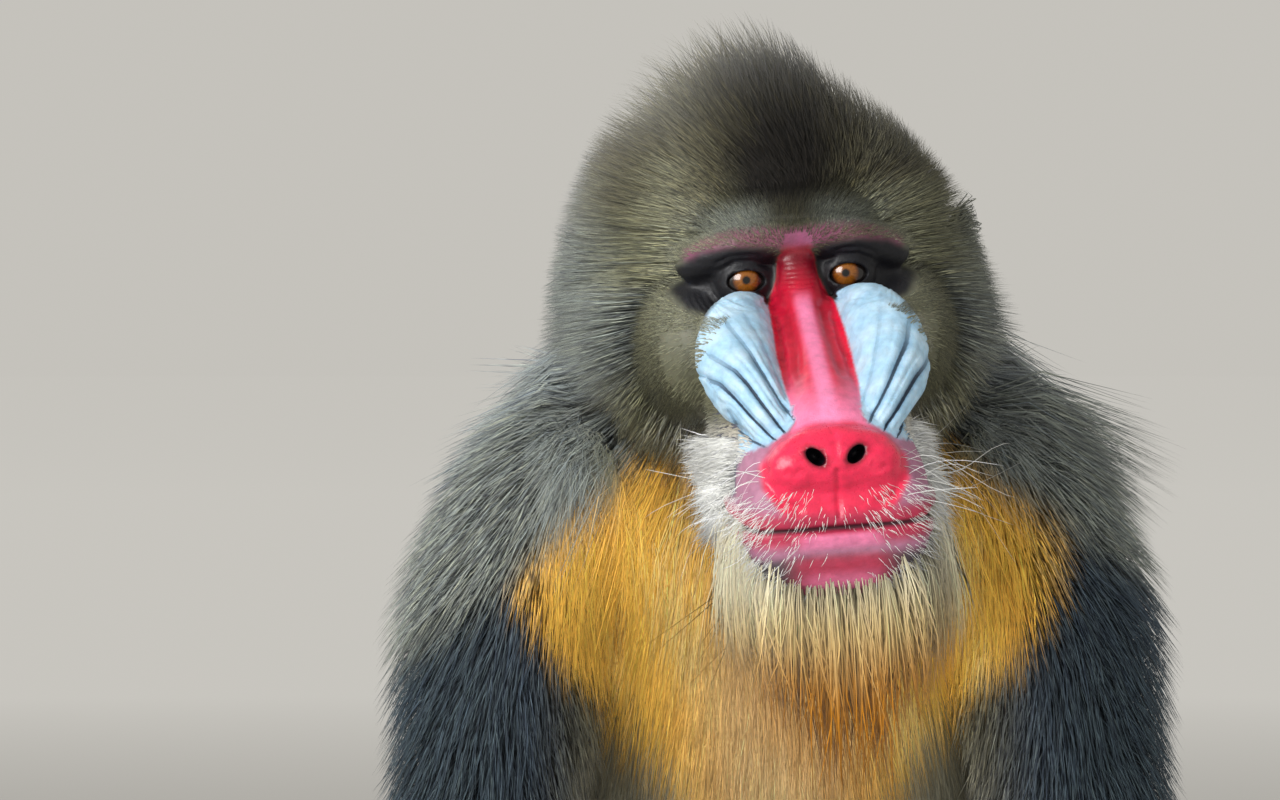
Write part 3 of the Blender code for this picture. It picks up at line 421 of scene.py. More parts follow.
@dataclass(frozen=True)
class Bones:
    """Sections of the trunk and limbs: centre, half width, half depth and coat depth."""

    trunk: tuple = (
        ((0, 0.02, 0.058), 0.104, 0.094, 0.01),
        ((0, 0.024, 0.105), 0.113, 0.103, 0.02),
        ((0, 0.024, 0.17), 0.112, 0.106, 0.026),
        ((0, 0.01, 0.25), 0.108, 0.104, 0.03),
        ((0, -0.024, 0.34), 0.112, 0.106, 0.036),
        ((0, -0.068, 0.428), 0.114, 0.104, 0.042),
        ((0, -0.108, 0.502), 0.102, 0.092, 0.046),
        ((0, -0.138, 0.556), 0.07, 0.07, 0.048),
    )
    neck: tuple = (
        ((0, -0.112, 0.512), 0.09, 0.08, 0.072),
        ((0, -0.158, 0.562), 0.08, 0.07, 0.072),
        ((0, -0.206, 0.604), 0.058, 0.058, 0.052),
    )
    upper_arm: tuple = (
        ((0.106, -0.136, 0.504), 0.044, 0.058, 0.026),
        ((0.126, -0.15, 0.456), 0.042, 0.052, 0.028),
        ((0.138, -0.162, 0.395), 0.035, 0.043, 0.026),
        ((0.15, -0.168, 0.325), 0.03, 0.036, 0.024),
        ((0.155, -0.168, 0.278), 0.03, 0.034, 0.022),
    )
    forearm: tuple = (
        ((0.155, -0.167, 0.282), 0.03, 0.035, 0.024),
        ((0.148, -0.177, 0.226), 0.031, 0.037, 0.024),
        ((0.133, -0.19, 0.155), 0.025, 0.029, 0.019),
        ((0.115, -0.203, 0.088), 0.019, 0.021, 0.012),
        ((0.106, -0.208, 0.058), 0.02, 0.017, 0.007),
    )
    thigh: tuple = (
        ((0.062, -0.004, 0.108), 0.064, 0.07, 0.024),
        ((0.11, -0.044, 0.134), 0.058, 0.065, 0.024),
        ((0.168, -0.092, 0.174), 0.046, 0.054, 0.022),
        ((0.222, -0.138, 0.206), 0.034, 0.04, 0.018),
        ((0.236, -0.15, 0.21), 0.03, 0.034, 0.016),
    )
    shin: tuple = (
        ((0.236, -0.15, 0.208), 0.031, 0.034, 0.016),
        ((0.232, -0.172, 0.168), 0.031, 0.037, 0.016),
        ((0.224, -0.205, 0.11), 0.022, 0.027, 0.012),
        ((0.217, -0.23, 0.064), 0.018, 0.02, 0.007),
        ((0.215, -0.236, 0.046), 0.019, 0.021, 0.005),
    )
    tail: tuple = (
        ((0, 0.105, 0.128), 0.018, 0.018, 0.012),
        ((0, 0.158, 0.16), 0.012, 0.012, 0.014),
        ((0, 0.186, 0.202), 0.008, 0.008, 0.014),
    )
    shoulder: tuple = ((0.072, -0.118, 0.506), (0.06, 0.066, 0.058))
    buttock: tuple = ((0.056, 0.04, 0.062), (0.056, 0.062, 0.062))


@dataclass(frozen=True)
class Paw:
    """A hand or foot of the left side, flat on the floor."""

    back: tuple             # wrist or heel
    front: tuple            # where the digits begin
    digits: tuple           # their lengths, from the inner to the outer
    radius: float           # of a digit
    thumb: tuple            # where it begins between back and front, and its length
    arch: float             # how high the first joints stand
    wide: float = 0.026
    thick: float = 0.013

    def build(self) -> tuple[list, list]:
        """Make the flesh and the nails.

        Returns:
            The flesh's pieces, and each nail's place, direction and size.
        """
        back, front = Vector(self.back), Vector(self.front)
        aim = (front - back).normalized()
        ahead = Vector((aim.x, aim.y, 0)).normalized()
        across = ahead.cross(Vector((0, 0, 1))).normalized()
        shares = ((0.0, 0.66, 1.15), (0.45, 0.9, 1.08), (1.0, 0.98, 0.86))
        rows = tuple((tuple(back.lerp(front, t)), self.wide * w, self.thick * h, 0.0)
                     for t, w, h in shares)
        pieces = [loft(rows, front=(0, 0, 1), power=0.85)]
        nails = []
        slim = self.radius * 0.92
        low = slim * 0.92
        for k, length in enumerate(self.digits):
            step = k - 1.5
            root = front - ahead * 0.01 - across * step / 1.5 * self.wide * 0.76
            fan = (ahead - across * step * 0.06).normalized()
            path = [Vector((*root.xy, front.z))]
            for t, lift in ((0.28, self.arch), (0.55, self.arch * 0.5), (0.78, 0.001), (1.0, 0)):
                joint = root + fan * (0.01 + length * t)
                path.append(Vector((*joint.xy, low + lift)))
            radii = [slim, slim * 1.02, slim * 0.93, slim * 0.9, slim * 0.66]
            pieces.append(rounded_tube(path, radii))
            nails.append((path[-1] + Vector((0, 0, slim * 0.42)), fan, slim))
        base, reach = self.thumb
        root = back.lerp(front, base) + across * self.wide * 0.55
        aside = (ahead * 0.62 + across * 0.78).normalized()
        path = [root]
        for t, high in ((0.5, 1.0), (0.8, 0.9), (1.0, 0.78)):
            path.append(Vector((*(root + aside * reach * t).xy, self.radius * high)))
        pieces.append(rounded_tube(path, [self.radius * r for r in (1.2, 1.05, 0.95, 0.66)]))
        nails.append((path[-1] + Vector((0, 0, slim * 0.42)), aside, slim))
        return pieces, nails


HAND = Paw((0.105, -0.21, 0.036), (0.097, -0.272, 0.015),
           (0.044, 0.054, 0.052, 0.042), 0.0072, (0.25, 0.034), 0.006)
FOOT = Paw((0.214, -0.222, 0.024), (0.228, -0.322, 0.014),
           (0.04, 0.046, 0.044, 0.036), 0.0078, (0.42, 0.046), 0.005)


@dataclass(frozen=True)
class Head:
    """Sizes of the head in its own frame: origin between the eyes, x left, y back, z up."""

    place: tuple = (0, -0.305, 0.618)
    yaw: float = math.radians(2)
    roll: float = math.radians(-4.2)
    cranium: tuple = ((0, 0.088, 0.006), (0.064, 0.08, 0.06))
    face: tuple = ((0, 0.024, -0.006), (0.05, 0.024, 0.032))
    cheek: tuple = ((0.043, 0.042, -0.03), (0.031, 0.044, 0.036))
    throat: tuple = ((0, 0.046, -0.078), (0.046, 0.06, 0.042))
    brow: tuple = ((-0.046, 0.016, 0.01), (-0.026, 0.002, 0.0165), (0, 0.003, 0.018),
                   (0.026, 0.002, 0.0165), (0.046, 0.016, 0.01))
    brow_radius: float = 0.0095
    eye_x: float = 0.024
    eye_depth: float = 0.0095
    eye_radius: float = 0.0125
    # Forward of the eyes, top, bottom, half width, and the share of it left along the top.
    muzzle: tuple = (
        (-0.008, 0.002, -0.104, 0.045, 0.2),
        (0.01, -0.004, -0.116, 0.045, 0.24),
        (0.035, -0.017, -0.127, 0.042, 0.32),
        (0.062, -0.032, -0.135, 0.0415, 0.38),
        (0.088, -0.046, -0.141, 0.043, 0.42),
        (0.106, -0.058, -0.144, 0.0435, 0.46),
        (0.116, -0.07, -0.141, 0.0405, 0.48),
    )
    bulge: float = 0.0085
    swelling: tuple = (
        ((0.022, -0.007, -0.012), 0.0075, 0.0075, 0),
        ((0.03, -0.02, -0.019), 0.015, 0.015, 0),
        ((0.0345, -0.04, -0.031), 0.0186, 0.0186, 0),
        ((0.0345, -0.06, -0.043), 0.0178, 0.0178, 0),
        ((0.0305, -0.08, -0.055), 0.0142, 0.0142, 0),
        ((0.0265, -0.096, -0.064), 0.0088, 0.0088, 0),
    )
    nose: tuple = ((0, -0.115, -0.083), (0.0305, 0.015, 0.0165))
    nostril: tuple = ((0.0092, -0.13, -0.08), (0.0052, 0.012, 0.0033))
    nostril_turn: float = -0.75
    # The wing of each nostril and the soft mound of the upper lip under it.
    wings: tuple = (((0.0165, -0.1165, -0.085), (0.0145, 0.0125, 0.0125)),
                    ((0.02, -0.107, -0.1), (0.021, 0.015, 0.013)))
    bridge: tuple = ((0, 0.008, 0.016), (0, 0.003, 0.008), (0, -0.001, 0.0), (0, -0.006, -0.009),
                     (0, -0.016, -0.018))
    bridge_radii: tuple = (0.0075, 0.0082, 0.0092, 0.0105, 0.011)
    # Height of each lid's middle over the pupil, and its radius.
    lids: tuple = ((0.0062, 0.0017), (-0.0066, 0.0014))
    lid_reach: float = 0.0118
    lid_gap: float = 0.0006         # between the eyeball and the middle of a lid
    socket_wall: float = 0.0016     # flesh round the eyeball
    eye_opening: tuple = (0.0094, 0.0085, 0.0052)
    ear: tuple = ((0.081, 0.092, 0.000), (0.007, 0.017, 0.022))
    # Forward and up of the corner and of the middle of the mouth.
    mouth: tuple = ((0.052, -0.1), (0.12, -0.112))
    # Height of each lip over the lip line and its radius, and their path to the middle.
    lips: tuple = ((0.0048, 0.0045), (-0.005, 0.0046))
    lip_path: tuple = ((-0.036, 0.046), (-0.0425, 0.066), (-0.043, 0.09), (-0.0395, 0.108),
                       (-0.023, 0.119), (0, 0.1215))

    def matrix(self) -> Matrix:
        """From the head's own frame to the animal's."""
        turn = Euler((0, self.roll, self.yaw), "XYZ").to_matrix().to_4x4()
        return Matrix.Translation(Vector(self.place)) @ turn

    def own(self, points: Array) -> Array:
        """Places of the animal's frame in the head's own."""
        back = np.array(self.matrix().inverted())
        return points @ back[:3, :3].T + back[:3, 3]

    def placed(self, points: Array) -> Array:
        """Places of the head's own frame in the animal's."""
        matrix = np.array(self.matrix())
        return points @ matrix[:3, :3].T + matrix[:3, 3]

    def turned(self, vectors: Array) -> Array:
        """Directions of the head's own frame in the animal's."""
        return vectors @ np.array(self.matrix())[:3, :3].T

    def own_turned(self, vectors: Array) -> Array:
        """Directions of the animal's frame in the head's own."""
        return vectors @ np.array(self.matrix())[:3, :3]

    def lip_line(self, forward: float | Array) -> float | Array:
        """Height of the lip line at a distance forward of the eyes."""
        (f0, z0), (f1, z1) = self.mouth
        return z0 + (z1 - z0) * (forward - f0) / (f1 - f0)


BONES = Bones()
HEAD = Head()


# Markings of the face, in the head's frame seen from the front: x and z in millimetres.
STRIP = MM * mirrored_outline((
    (4.5, 19), (8.5, 8), (9.5, 0), (13, -8), (15.5, -13), (17.2, -35), (16.8, -50), (14.8, -64),
    (19, -70), (30, -80), (33, -90), (30, -98),
))
SWELLING = MM * np.array((
    (15.5, -12), (25, -10), (36, -16.5), (44, -24), (50, -32), (56, -41), (54, -52), (49, -61),
    (45, -70), (40, -79), (33, -82), (25, -77), (19, -71), (14.2, -65), (16.4, -50), (17, -35),
    (16, -20),
))
SOCKET = MM * np.array((
    (7.5, 12.5), (15, 15), (30, 16.5), (44, 15), (56, 9), (60, -1), (52, -12), (39, -16.5),
    (25, -13), (16, -13.5), (11, -7), (8.5, 2),
))
BROW_BAND = MM * np.array((
    (-47, 14), (-40, 17.5), (-30, 19.8), (-18, 19.8), (0, 18), (18, 19.8), (30, 19.8), (40, 17.5),
    (47, 14),
))
NOSE_PAD = MM * mirrored_outline((
    (10, -65.5), (24, -72), (33, -83), (33, -93), (27, -103), (20, -110),
))
# The grooves of each swelling from its lower edge to the nose: how dark, then the line. The
# darkness is partly the grooves' deeper skin and partly painted shade. The two sides of a real
# face differ a little.
GROOVES = {
    -1: (
        (0.9, ((43, -58), (38.6, -66.2), (34.1, -71.9), (27, -76))),
        (1.0, ((56, -40.5), (45.5, -45.4), (40.5, -51.8), (34.4, -60.6), (25.5, -71.5))),
        (1.0, ((48, -33), (38.5, -40.1), (33.9, -46.4), (28.2, -56.6), (20.5, -69))),
        (0.8, ((38, -19), (30.5, -31.7), (28.4, -37.1), (23.5, -47.9), (19.3, -56.6),
               (15, -64))),
        (0.16, ((29, -15), (24, -27), (20.5, -40), (17, -53))),
    ),
    1: (
        (0.9, ((48, -64), (40.5, -71.5), (35, -77), (30, -80))),
        (1.0, ((55, -50), (46.5, -59.2), (40.5, -64.7), (31, -74))),
        (1.0, ((56, -37), (50, -43.4), (43.5, -48.6), (38.5, -54.2), (32, -62),
               (25, -70.2))),
        (0.9, ((45, -23), (41.5, -32.7), (36, -40.6), (28.5, -52), (18.5, -66.5))),
        (0.16, ((33, -15), (29, -28), (24, -42), (18, -56))),
    ),
}
RIB_SPACING = 7 * MM    # between ribs past the first and the last groove
# Furrows of the red strip and creases round the eyes, nose and chin: depth and width in
# millimetres, and the line, mirrored to both sides. The first two, the strip's furrows, are also
# darkened with painted shade.
CREASES = (
    (1.5, 1.7, ((9, -9), (7.8, -20), (8.4, -33), (10.8, -48))),
    (0.8, 0.9, ((12.8, -15), (13.2, -26), (14.2, -40), (15.2, -52))),
    (0.9, 0.8, ((12.5, -8.5), (20, -11), (29, -10.5), (37, -6))),
    (0.6, 0.7, ((15, -11.2), (23, -13.6), (33, -12.1), (41, -7))),
    (0.9, 0.8, ((13, 6.5), (20, 9), (29, 8.8), (37, 5))),
    (0.7, 0.8, ((15, 9.5), (22, 11.8), (31, 11.6), (40, 8))),
    (1.5, 1.6, ((33.5, -79), (32, -90), (25, -100), (14, -105))),
    (0.9, 1.4, ((15, -84), (19, -88), (23.5, -85))),
)
MIDLINE = ((1.3, 0.9, ((0, -87), (0, -108))), (0.7, 1.4, ((0, -70), (0, -80))))


def front_view(own: Array) -> Array:
    """Places of the head's frame seen from the front, the right side folded on the left."""
    return np.column_stack([np.abs(own[:, 0]), own[:, 2]])


def signed_distance(points: Array, line: Array) -> Array:
    """Distance to a polyline, above zero on its inner side, towards x of 0 and up.

    Args:
        points: Places seen from the front.
        line: The polyline's corners.

    Returns:
        The signed distances.
    """
    best = np.full(len(points), 1e9)
    sign = np.ones(len(points))
    for start, end in zip(line, line[1:]):
        step = end - start
        t = np.clip(((points - start) @ step) / float(step @ step), 0, 1)
        near = np.linalg.norm(points - start - t[:, None] * step, axis=1)
        away = points - start
        side = np.sign(step[1] * away[:, 0] - step[0] * away[:, 1])
        sign = np.where(near < best, side, sign)
        best = np.minimum(best, near)
    return best * sign


def rib_map(flat: Array, way: int) -> tuple[Array, Array]:
    """Where each place lies across the ribs of one side's swelling.

    Args:
        flat: Places seen from the front, x made positive.
        way: The side: 1 left, -1 right.

    Returns:
        A value that is whole on each groove and runs evenly between, and how dark the
        nearest groove is there.
    """
    lines = [MM * np.array(line) for _, line in GROOVES[way]]
    gaps = [signed_distance(flat, line) for line in lines]
    rib = np.minimum(gaps[0] / RIB_SPACING, 0)
    for i, gap in enumerate(gaps):
        if i + 1 < len(gaps):
            share = gap / np.maximum(gap - np.minimum(gaps[i + 1], 0), 1e-6)
        else:
            share = gap / RIB_SPACING
        rib = np.where(gap > 0, i + np.clip(share, 0, 1 if i + 1 < len(gaps) else 9), rib)
    dark = np.zeros(len(flat))
    for i, (share, _) in enumerate(GROOVES[way]):
        _, where = segment_distance(flat, lines[i])
        near = ramp(np.abs(rib - i), 0.5, 0.4)
        dark = np.maximum(dark, near * share * (0.3 + 0.7 * ramp(where, 0.02, 0.45)))
    return rib, dark


def swelling_near(own: Array) -> Array:
    """Distance to the nearest swelling's axis, as a share of its radius there."""
    folded = own.copy()
    folded[:, 0] = np.abs(folded[:, 0])
    shares = [np.linalg.norm(folded - np.array(middle), axis=1) / radius
              for middle, radius, *_ in smooth_sections(HEAD.swelling, 6)]
    return np.min(shares, axis=0)


class Paint:
    """One linear colour for each place, laid on coat by coat."""

    def __init__(self, ground: Array) -> None:
        """Start from these colours."""
        self.out = ground

    def lay(self, code: str, share: Array) -> None:
        """Lay one colour over what is there, as strong as its share at each place."""
        share = np.clip(share, 0, 1)[:, None]
        self.out = self.out * (1 - share) + srgb(code) * share


@dataclass(frozen=True)
class Markings:
    """The colours of skin and coat by place, the same for both."""

    olive: str = "#7B7A5F"
    olive_pale: str = "#A9AA93"
    crown: str = "#4A4433"
    crown_dark: str = "#191510"
    brow_grey: str = "#878D84"
    ruff_grey: str = "#8F9797"
    slate: str = "#4C5763"
    night: str = "#424F58"
    gold: str = "#FBBF50"
    gold_pale: str = "#FFE2A0"
    gold_deep: str = "#E89E38"
    tan: str = "#EDC28C"
    cream: str = "#FBEFCB"
    white: str = "#F8F8F2"
    beard_tip: str = "#E09222"
    back: str = "#6E684C"
    belly: str = "#9A9684"
    limb: str = "#62614A"
    red: str = "#D40D36"
    red_deep: str = "#8E0620"
    pink: str = "#F690BC"
    nose: str = "#E42A50"
    blue: str = "#A5CBE3"
    blue_pale: str = "#CFE4F0"
    blue_shade: str = "#6F9EC2"
    navy: str = "#132238"
    mauve: str = "#8E4668"
    black: str = "#0B0B12"
    lip: str = "#B02C4A"
    chin: str = "#4A4247"
    muzzle_side: str = "#A8708A"
    muzzle_grey: str = "#5B5D6B"
    palm: str = "#2B2729"
    lilac: str = "#8C86C4"
    rump_pink: str = "#C77C8C"
    under_coat: float = 0.55    # how bright the skin under hair is, as a share of the hair

    def coat(self, places: Array) -> Array:
        """The coat's colour at some places.

        Args:
            places: Places in the animal's frame.

        Returns:
            One linear colour for each.
        """
        h = HEAD.own(places)
        x, y, z = np.abs(h[:, 0]), h[:, 1], h[:, 2]
        side, ahead, high = np.abs(places[:, 0]), -places[:, 1], places[:, 2]
        patchy = ripple(places, 0.05, 3)[:, 0]
        paint = Paint(np.tile(srgb(self.back), (len(places), 1)))
        mix = paint.lay
        # The trunk from the back to the pale underside, then the limbs.
        front = ramp(ahead - 0.4 * np.maximum(high - 0.25, 0), 0.02, 0.1)
        mix(self.belly, front * ramp(high, 0.44, 0.32) * (side < 0.13))
        mix(self.limb, ramp(side, 0.13, 0.17) * ramp(high, 0.36, 0.28))
        mix(self.slate, ramp(side, 0.085, 0.125) * ramp(high, 0.22, 0.3))
        mix(self.slate, ramp(high, 0.44, 0.52) * ramp(side, 0.06, 0.11))
        mix(self.night, ramp(side, 0.11, 0.15)
            * ramp(high + 0.015 * patchy, 0.54, 0.4) * ramp(high, 0.2, 0.28))
        # The bib: gold over the chest and the fronts of the shoulders.
        wide = np.interp(high, BIB_OUTLINE[:, 0], BIB_OUTLINE[:, 1])
        reach = ahead + 0.22 * side - 0.8 * np.maximum(high - 0.525, 0)
        bib = ramp(reach, 0.088, 0.122) * ramp(high, 0.32, 0.35)
        bib = bib * ramp(side + 0.004 * patchy - wide, 0.01, -0.012)
        bib = bib * ramp(high, 0.575, 0.542)
        mix(self.gold, bib)
        mix(self.tan, bib * ramp(side, 0.07, 0.015) * ramp(high, 0.5, 0.44) * 0.8)
        mix(self.gold_pale, bib * ramp(patchy, 0.1, 0.9) * 0.45)
        mix(self.gold_deep, bib * ramp(-patchy, 0.35, 1.0) * 0.3)
        # The head, from the front of the neck cut forwards.
        head = ramp(y + z * 0.35, 0.15, 0.115)
        head = head * ramp(z - 0.6 * (0.06 - x), -0.1, -0.07)
        mix(self.olive, head)
        mix(self.ruff_grey, head * ramp(x, 0.078, 0.105) * 0.75)
        mix(self.ruff_grey, ramp(high, 0.5, 0.55) * ramp(side, 0.075, 0.1)
            * (1 - head) * (1 - bib))
        mix(self.olive_pale, head * ramp(x, 0.03, 0.05) * ramp(x, 0.085, 0.06)
            * ramp(z, -0.05, -0.01) * 0.55)
        mix(self.crown, head * ramp(z + 0.012 * patchy, 0.018, 0.058) * 0.8)
        dark = ramp(np.hypot(x / 0.04, (z - 0.056) / 0.044) + 0.18 * patchy, 1.25, 0.3)
        mix(self.crown_dark, head * dark * ramp(y, 0.085, 0.045))
        mix(self.crown_dark, head * ramp(x, 0.05, 0.015) * ramp(z, 0.055, 0.095)
            * (0.78 + 0.2 * patchy))
        brow = ramp(z, 0.019, 0.026) * ramp(z, 0.04, 0.03)
        mix(self.brow_grey, head * brow * ramp(y, 0.045, 0.02) * ramp(x, 0.06, 0.045)
            * ramp(x, 0.004, 0.022) * 0.8)
        # White beside the mouth, cream to orange down the beard.
        muzzle = ramp(y, 0.052, 0.02) * ramp(z, -0.058, -0.078)
        mix(self.white, muzzle)
        mix(self.cream, muzzle * ramp(z, -0.118, -0.135))
        return paint.out

    def beard(self, places: Array) -> Array:
        """The beard's colour at some places: cream under the lip and orange at its point."""
        z = HEAD.own(places)[:, 2]
        paint = Paint(np.tile(srgb(self.cream), (len(places), 1)))
        paint.lay(self.gold_pale, ramp(z, -0.136, -0.158))
        paint.lay(self.beard_tip, ramp(z, -0.15, -0.192))
        return paint.out

    def fringe(self, places: Array) -> Array:
        """White hair, a little yellow towards the beard."""
        paint = Paint(np.tile(srgb(self.white), (len(places), 1)))
        paint.lay(self.cream, ramp(HEAD.own(places)[:, 2], -0.135, -0.16))
        return paint.out

    def bare(self, places: Array) -> Array:
        """How bare of hair the skin is: 1 on the face and palms.

        Args:
            places: Places in the animal's frame.

        Returns:
            A share for each place, 0 where hair grows.
        """
        h = HEAD.own(places)
        flat = front_view(h)
        ahead = ramp(h[:, 1], 0.03, 0.018)
        face = np.maximum(inside(flat, SOCKET, 0.004), inside(flat, STRIP, 0.006))
        face = np.maximum(face, inside(flat, SWELLING, 0.002))
        face = np.maximum(face, ramp(h[:, 1], -0.086, -0.094))
        under = ramp(h[:, 2], -0.128, -0.138) * ramp(h[:, 1], -0.125, -0.11)
        face = face * ahead * (1 - under)
        paws = ramp(places[:, 2], 0.046, 0.032) * ramp(-places[:, 1], 0.17, 0.2)
        return np.maximum(face, paws)

    @staticmethod
    def ribs(own: Array) -> tuple[Array, Array]:
        """The rib map of both sides for places in the head's frame.

        Args:
            own: The places.

        Returns:
            The place across the ribs, and how dark the groove is there.
        """
        flat = front_view(own)
        left, right = rib_map(flat, 1), rib_map(flat, -1)
        mine = own[:, 0] > 0
        return np.where(mine, left[0], right[0]), np.where(mine, left[1], right[1])

    def skin(self, places: Array) -> dict[str, Array]:
        """Colour, wetness and grooves of the bare skin.

        Args:
            places: Places in the animal's frame.

        Returns:
            Linear colours as tint, how glossy each place is, the place across the ribs, and
            how dark the groove is there.
        """
        h = HEAD.own(places)
        x, y, z = h.T
        flat = front_view(h)
        paint = Paint(self.coat(places) * self.under_coat)
        mix = paint.lay
        patchy = ripple(places, 0.012, 11)
        ahead = ramp(y, 0.034, 0.02)
        mix(self.muzzle_grey, ramp(y, 0.0, -0.03) * ramp(z, 0.0, -0.02))
        mix(self.muzzle_side, ramp(y, -0.08, -0.1))
        band, _ = segment_distance(np.column_stack([x, z]), BROW_BAND)
        mix(self.mauve, ramp(band, 0.0072, 0.0022) * ahead * (0.75 + 0.2 * patchy[:, 1]))
        mix(self.black, inside(flat, SOCKET, 0.006) * ahead)
        mix(self.black, inside(flat, SWELLING, 0.008) * ramp(z, -0.045, -0.022) * ahead)
        # The swelling's flat top belongs to it too, though the outline is drawn from the front.
        lower = flat.copy()
        lower[:, 1] -= 0.012 * ramp(y, -0.004, -0.024)
        form = np.maximum(inside(flat, SWELLING, 0.0016),
                          inside(lower, SWELLING, 0.0016) * (np.abs(x) > 0.017))
        blue = form * ramp(y, 0.012, 0.002)
        blue = blue * ramp(swelling_near(h) - 0.6 * ramp(-y, 0.06, 0.09), 1.22, 1.1)
        mix(self.blue, blue)
        mix(self.blue_pale, blue * ramp(patchy[:, 0], -0.6, 1.0) * 0.45)
        # How dark each groove is: partly the groove's deeper skin, partly painted shade.
        rib, groove = self.ribs(h)
        groove = groove * blue
        # Painted shade: a darker blue on both sides of each groove, where the ribs curve down
        # into it.
        mix(self.blue_shade, blue * ramp(np.abs(rib - np.round(rib)), 0.3, 0.05)
            * np.clip(groove + 0.3, 0, 1) * 0.55)
        strip = inside(flat, STRIP, 0.0014) * ahead * ramp(z, 0.0165, 0.009)
        mix(self.red, strip)
        # Painted shade: the red deepens along the strip's two furrows, most in the deeper one.
        furrow_shade = np.zeros(len(places))
        for depth, wide, line in CREASES[:2]:
            gap, _ = segment_distance(flat, MM * np.array(line))
            furrow_shade = np.maximum(furrow_shade, ramp(gap, wide * 0.0026, 0.0) * depth / 1.6)
        mix(self.red_deep, strip * furrow_shade * 0.5)
        mix(self.red_deep, strip * ramp(z, -0.016, 0.004) * 0.85)
        mix(self.black, strip * ramp(z, -0.004, 0.012) * 0.6)
        # Pink on the strip's middle ridge and where the strip meets the nose: partly the ridge's
        # paler skin, partly a painted highlight along the top of the ridge.
        middle = ramp(np.abs(x), 0.0062, 0.0015) * ramp(z, -0.004, -0.014)
        mix(self.pink, strip * middle * 0.8)
        mix(self.pink, strip * ramp(z, -0.04, -0.066) * ramp(z, -0.078, -0.068) * 0.8)
        snout = ramp(y, -0.098, -0.104)
        tip = snout * inside(flat, NOSE_PAD, 0.004)
        mix(self.muzzle_side, snout * ramp(z, -0.072, -0.08))
        mix(self.nose, tip)
        lips = ramp(y, -0.05, -0.08)
        from_lips = np.abs(z - HEAD.lip_line(-y))
        near = ramp(from_lips, 0.011, 0.004)
        mix(self.lip, lips * near)
        mix(self.pink, snout * ramp(np.abs(z + 0.1185), 0.0045, 0.0015)
            * ramp(np.abs(x), 0.024, 0.012) * 0.6)
        chin = lips * ramp(z, -0.122, -0.128)
        mix(self.chin, chin)
        mix(self.lip, chin * ramp(np.abs(x), 0.03, 0.014) * 0.85)
        mix(self.pink, chin * ramp(np.abs(x), 0.024, 0.01) * ramp(z, -0.13, -0.138)
            * 0.5)
        # Painted shade: a black line in the slit where the lips meet.
        mix(self.black, ramp(from_lips, 0.0018, 0.0005) * lips * 0.9)
        (nx, _, nz), (wide, _, tall) = HEAD.nostril
        c, s = math.cos(HEAD.nostril_turn), math.sin(HEAD.nostril_turn)
        across, up = np.abs(x) - nx, z - nz
        hole = np.hypot((across * c - up * s) / wide, (across * s + up * c) / tall)
        # Painted shade of each nostril's hollow: the red deepens round it and turns black inside.
        mix(self.red_deep, ramp(hole, 1.7, 1.1) * snout * 0.7)
        mix(self.black, ramp(hole, 1.12, 0.92) * snout)
        gloss = np.clip(strip * 0.75 + tip * 0.55 + lips * near * 0.5
                        + inside(flat, SOCKET, 0.006) * ahead * 0.15 + blue * 0.2, 0, 1)
        paws = ramp(places[:, 2], 0.06, 0.04) * ramp(-places[:, 1], 0.17, 0.2)
        mix(self.palm, paws)
        seat = ramp(places[:, 1], 0.085, 0.105) * ramp(places[:, 2], 0.125, 0.095)
        mix(self.lilac, seat * 0.9)
        mix(self.rump_pink, seat * ramp(np.abs(places[:, 0]), 0.035, 0.012))
        return {"tint": paint.out, "gloss": gloss, "rib": rib, "groove": groove}


MARKINGS = Markings()


# Finishes


def colour(code: str) -> tuple:
    """A hex colour as a socket's value."""
    return (*srgb(code), 1.0)


class Nodes:
    """A material's node tree, built one node at a time."""

    def __init__(self, name: str) -> None:
        """Start a material with only its output and Principled shader."""
        self.material = bpy.data.materials.new(name)
        self.material.use_nodes = True
        self.tree = self.material.node_tree
        self.shader = self.tree.nodes["Principled BSDF"]

    def add(self, kind: str, inputs: dict | tuple = (), out: str | int = 0,
            **settings: object) -> NodeSocket:
        """Add one node with its settings and links.

        Args:
            kind: The node's type without its ShaderNode prefix.
            inputs: Values or output sockets, by name or number or in the sockets' order.
            out: The output that is wanted.
            settings: Properties of the node.

        Returns:
            That output.
        """
        node = self.tree.nodes.new("ShaderNode" + kind)
        for key, value in settings.items():
            setattr(node, key, value)
        self.feed(node, inputs if isinstance(inputs, dict) else dict(enumerate(inputs)))
        return node.outputs[out]

    def feed(self, node: Node, inputs: dict) -> None:
        """Set or link a node's inputs."""
        for key, value in inputs.items():
            socket = node.inputs[key]
            if isinstance(value, NodeSocket):
                self.tree.links.new(value, socket)
            else:
                socket.default_value = value

    def finish(self, **inputs: object) -> Material:
        """Feed the shader, each input by its name with _ for a blank, and give the material."""
        self.feed(self.shader, {key.replace("_", " "): value for key, value in inputs.items()})
        return self.material


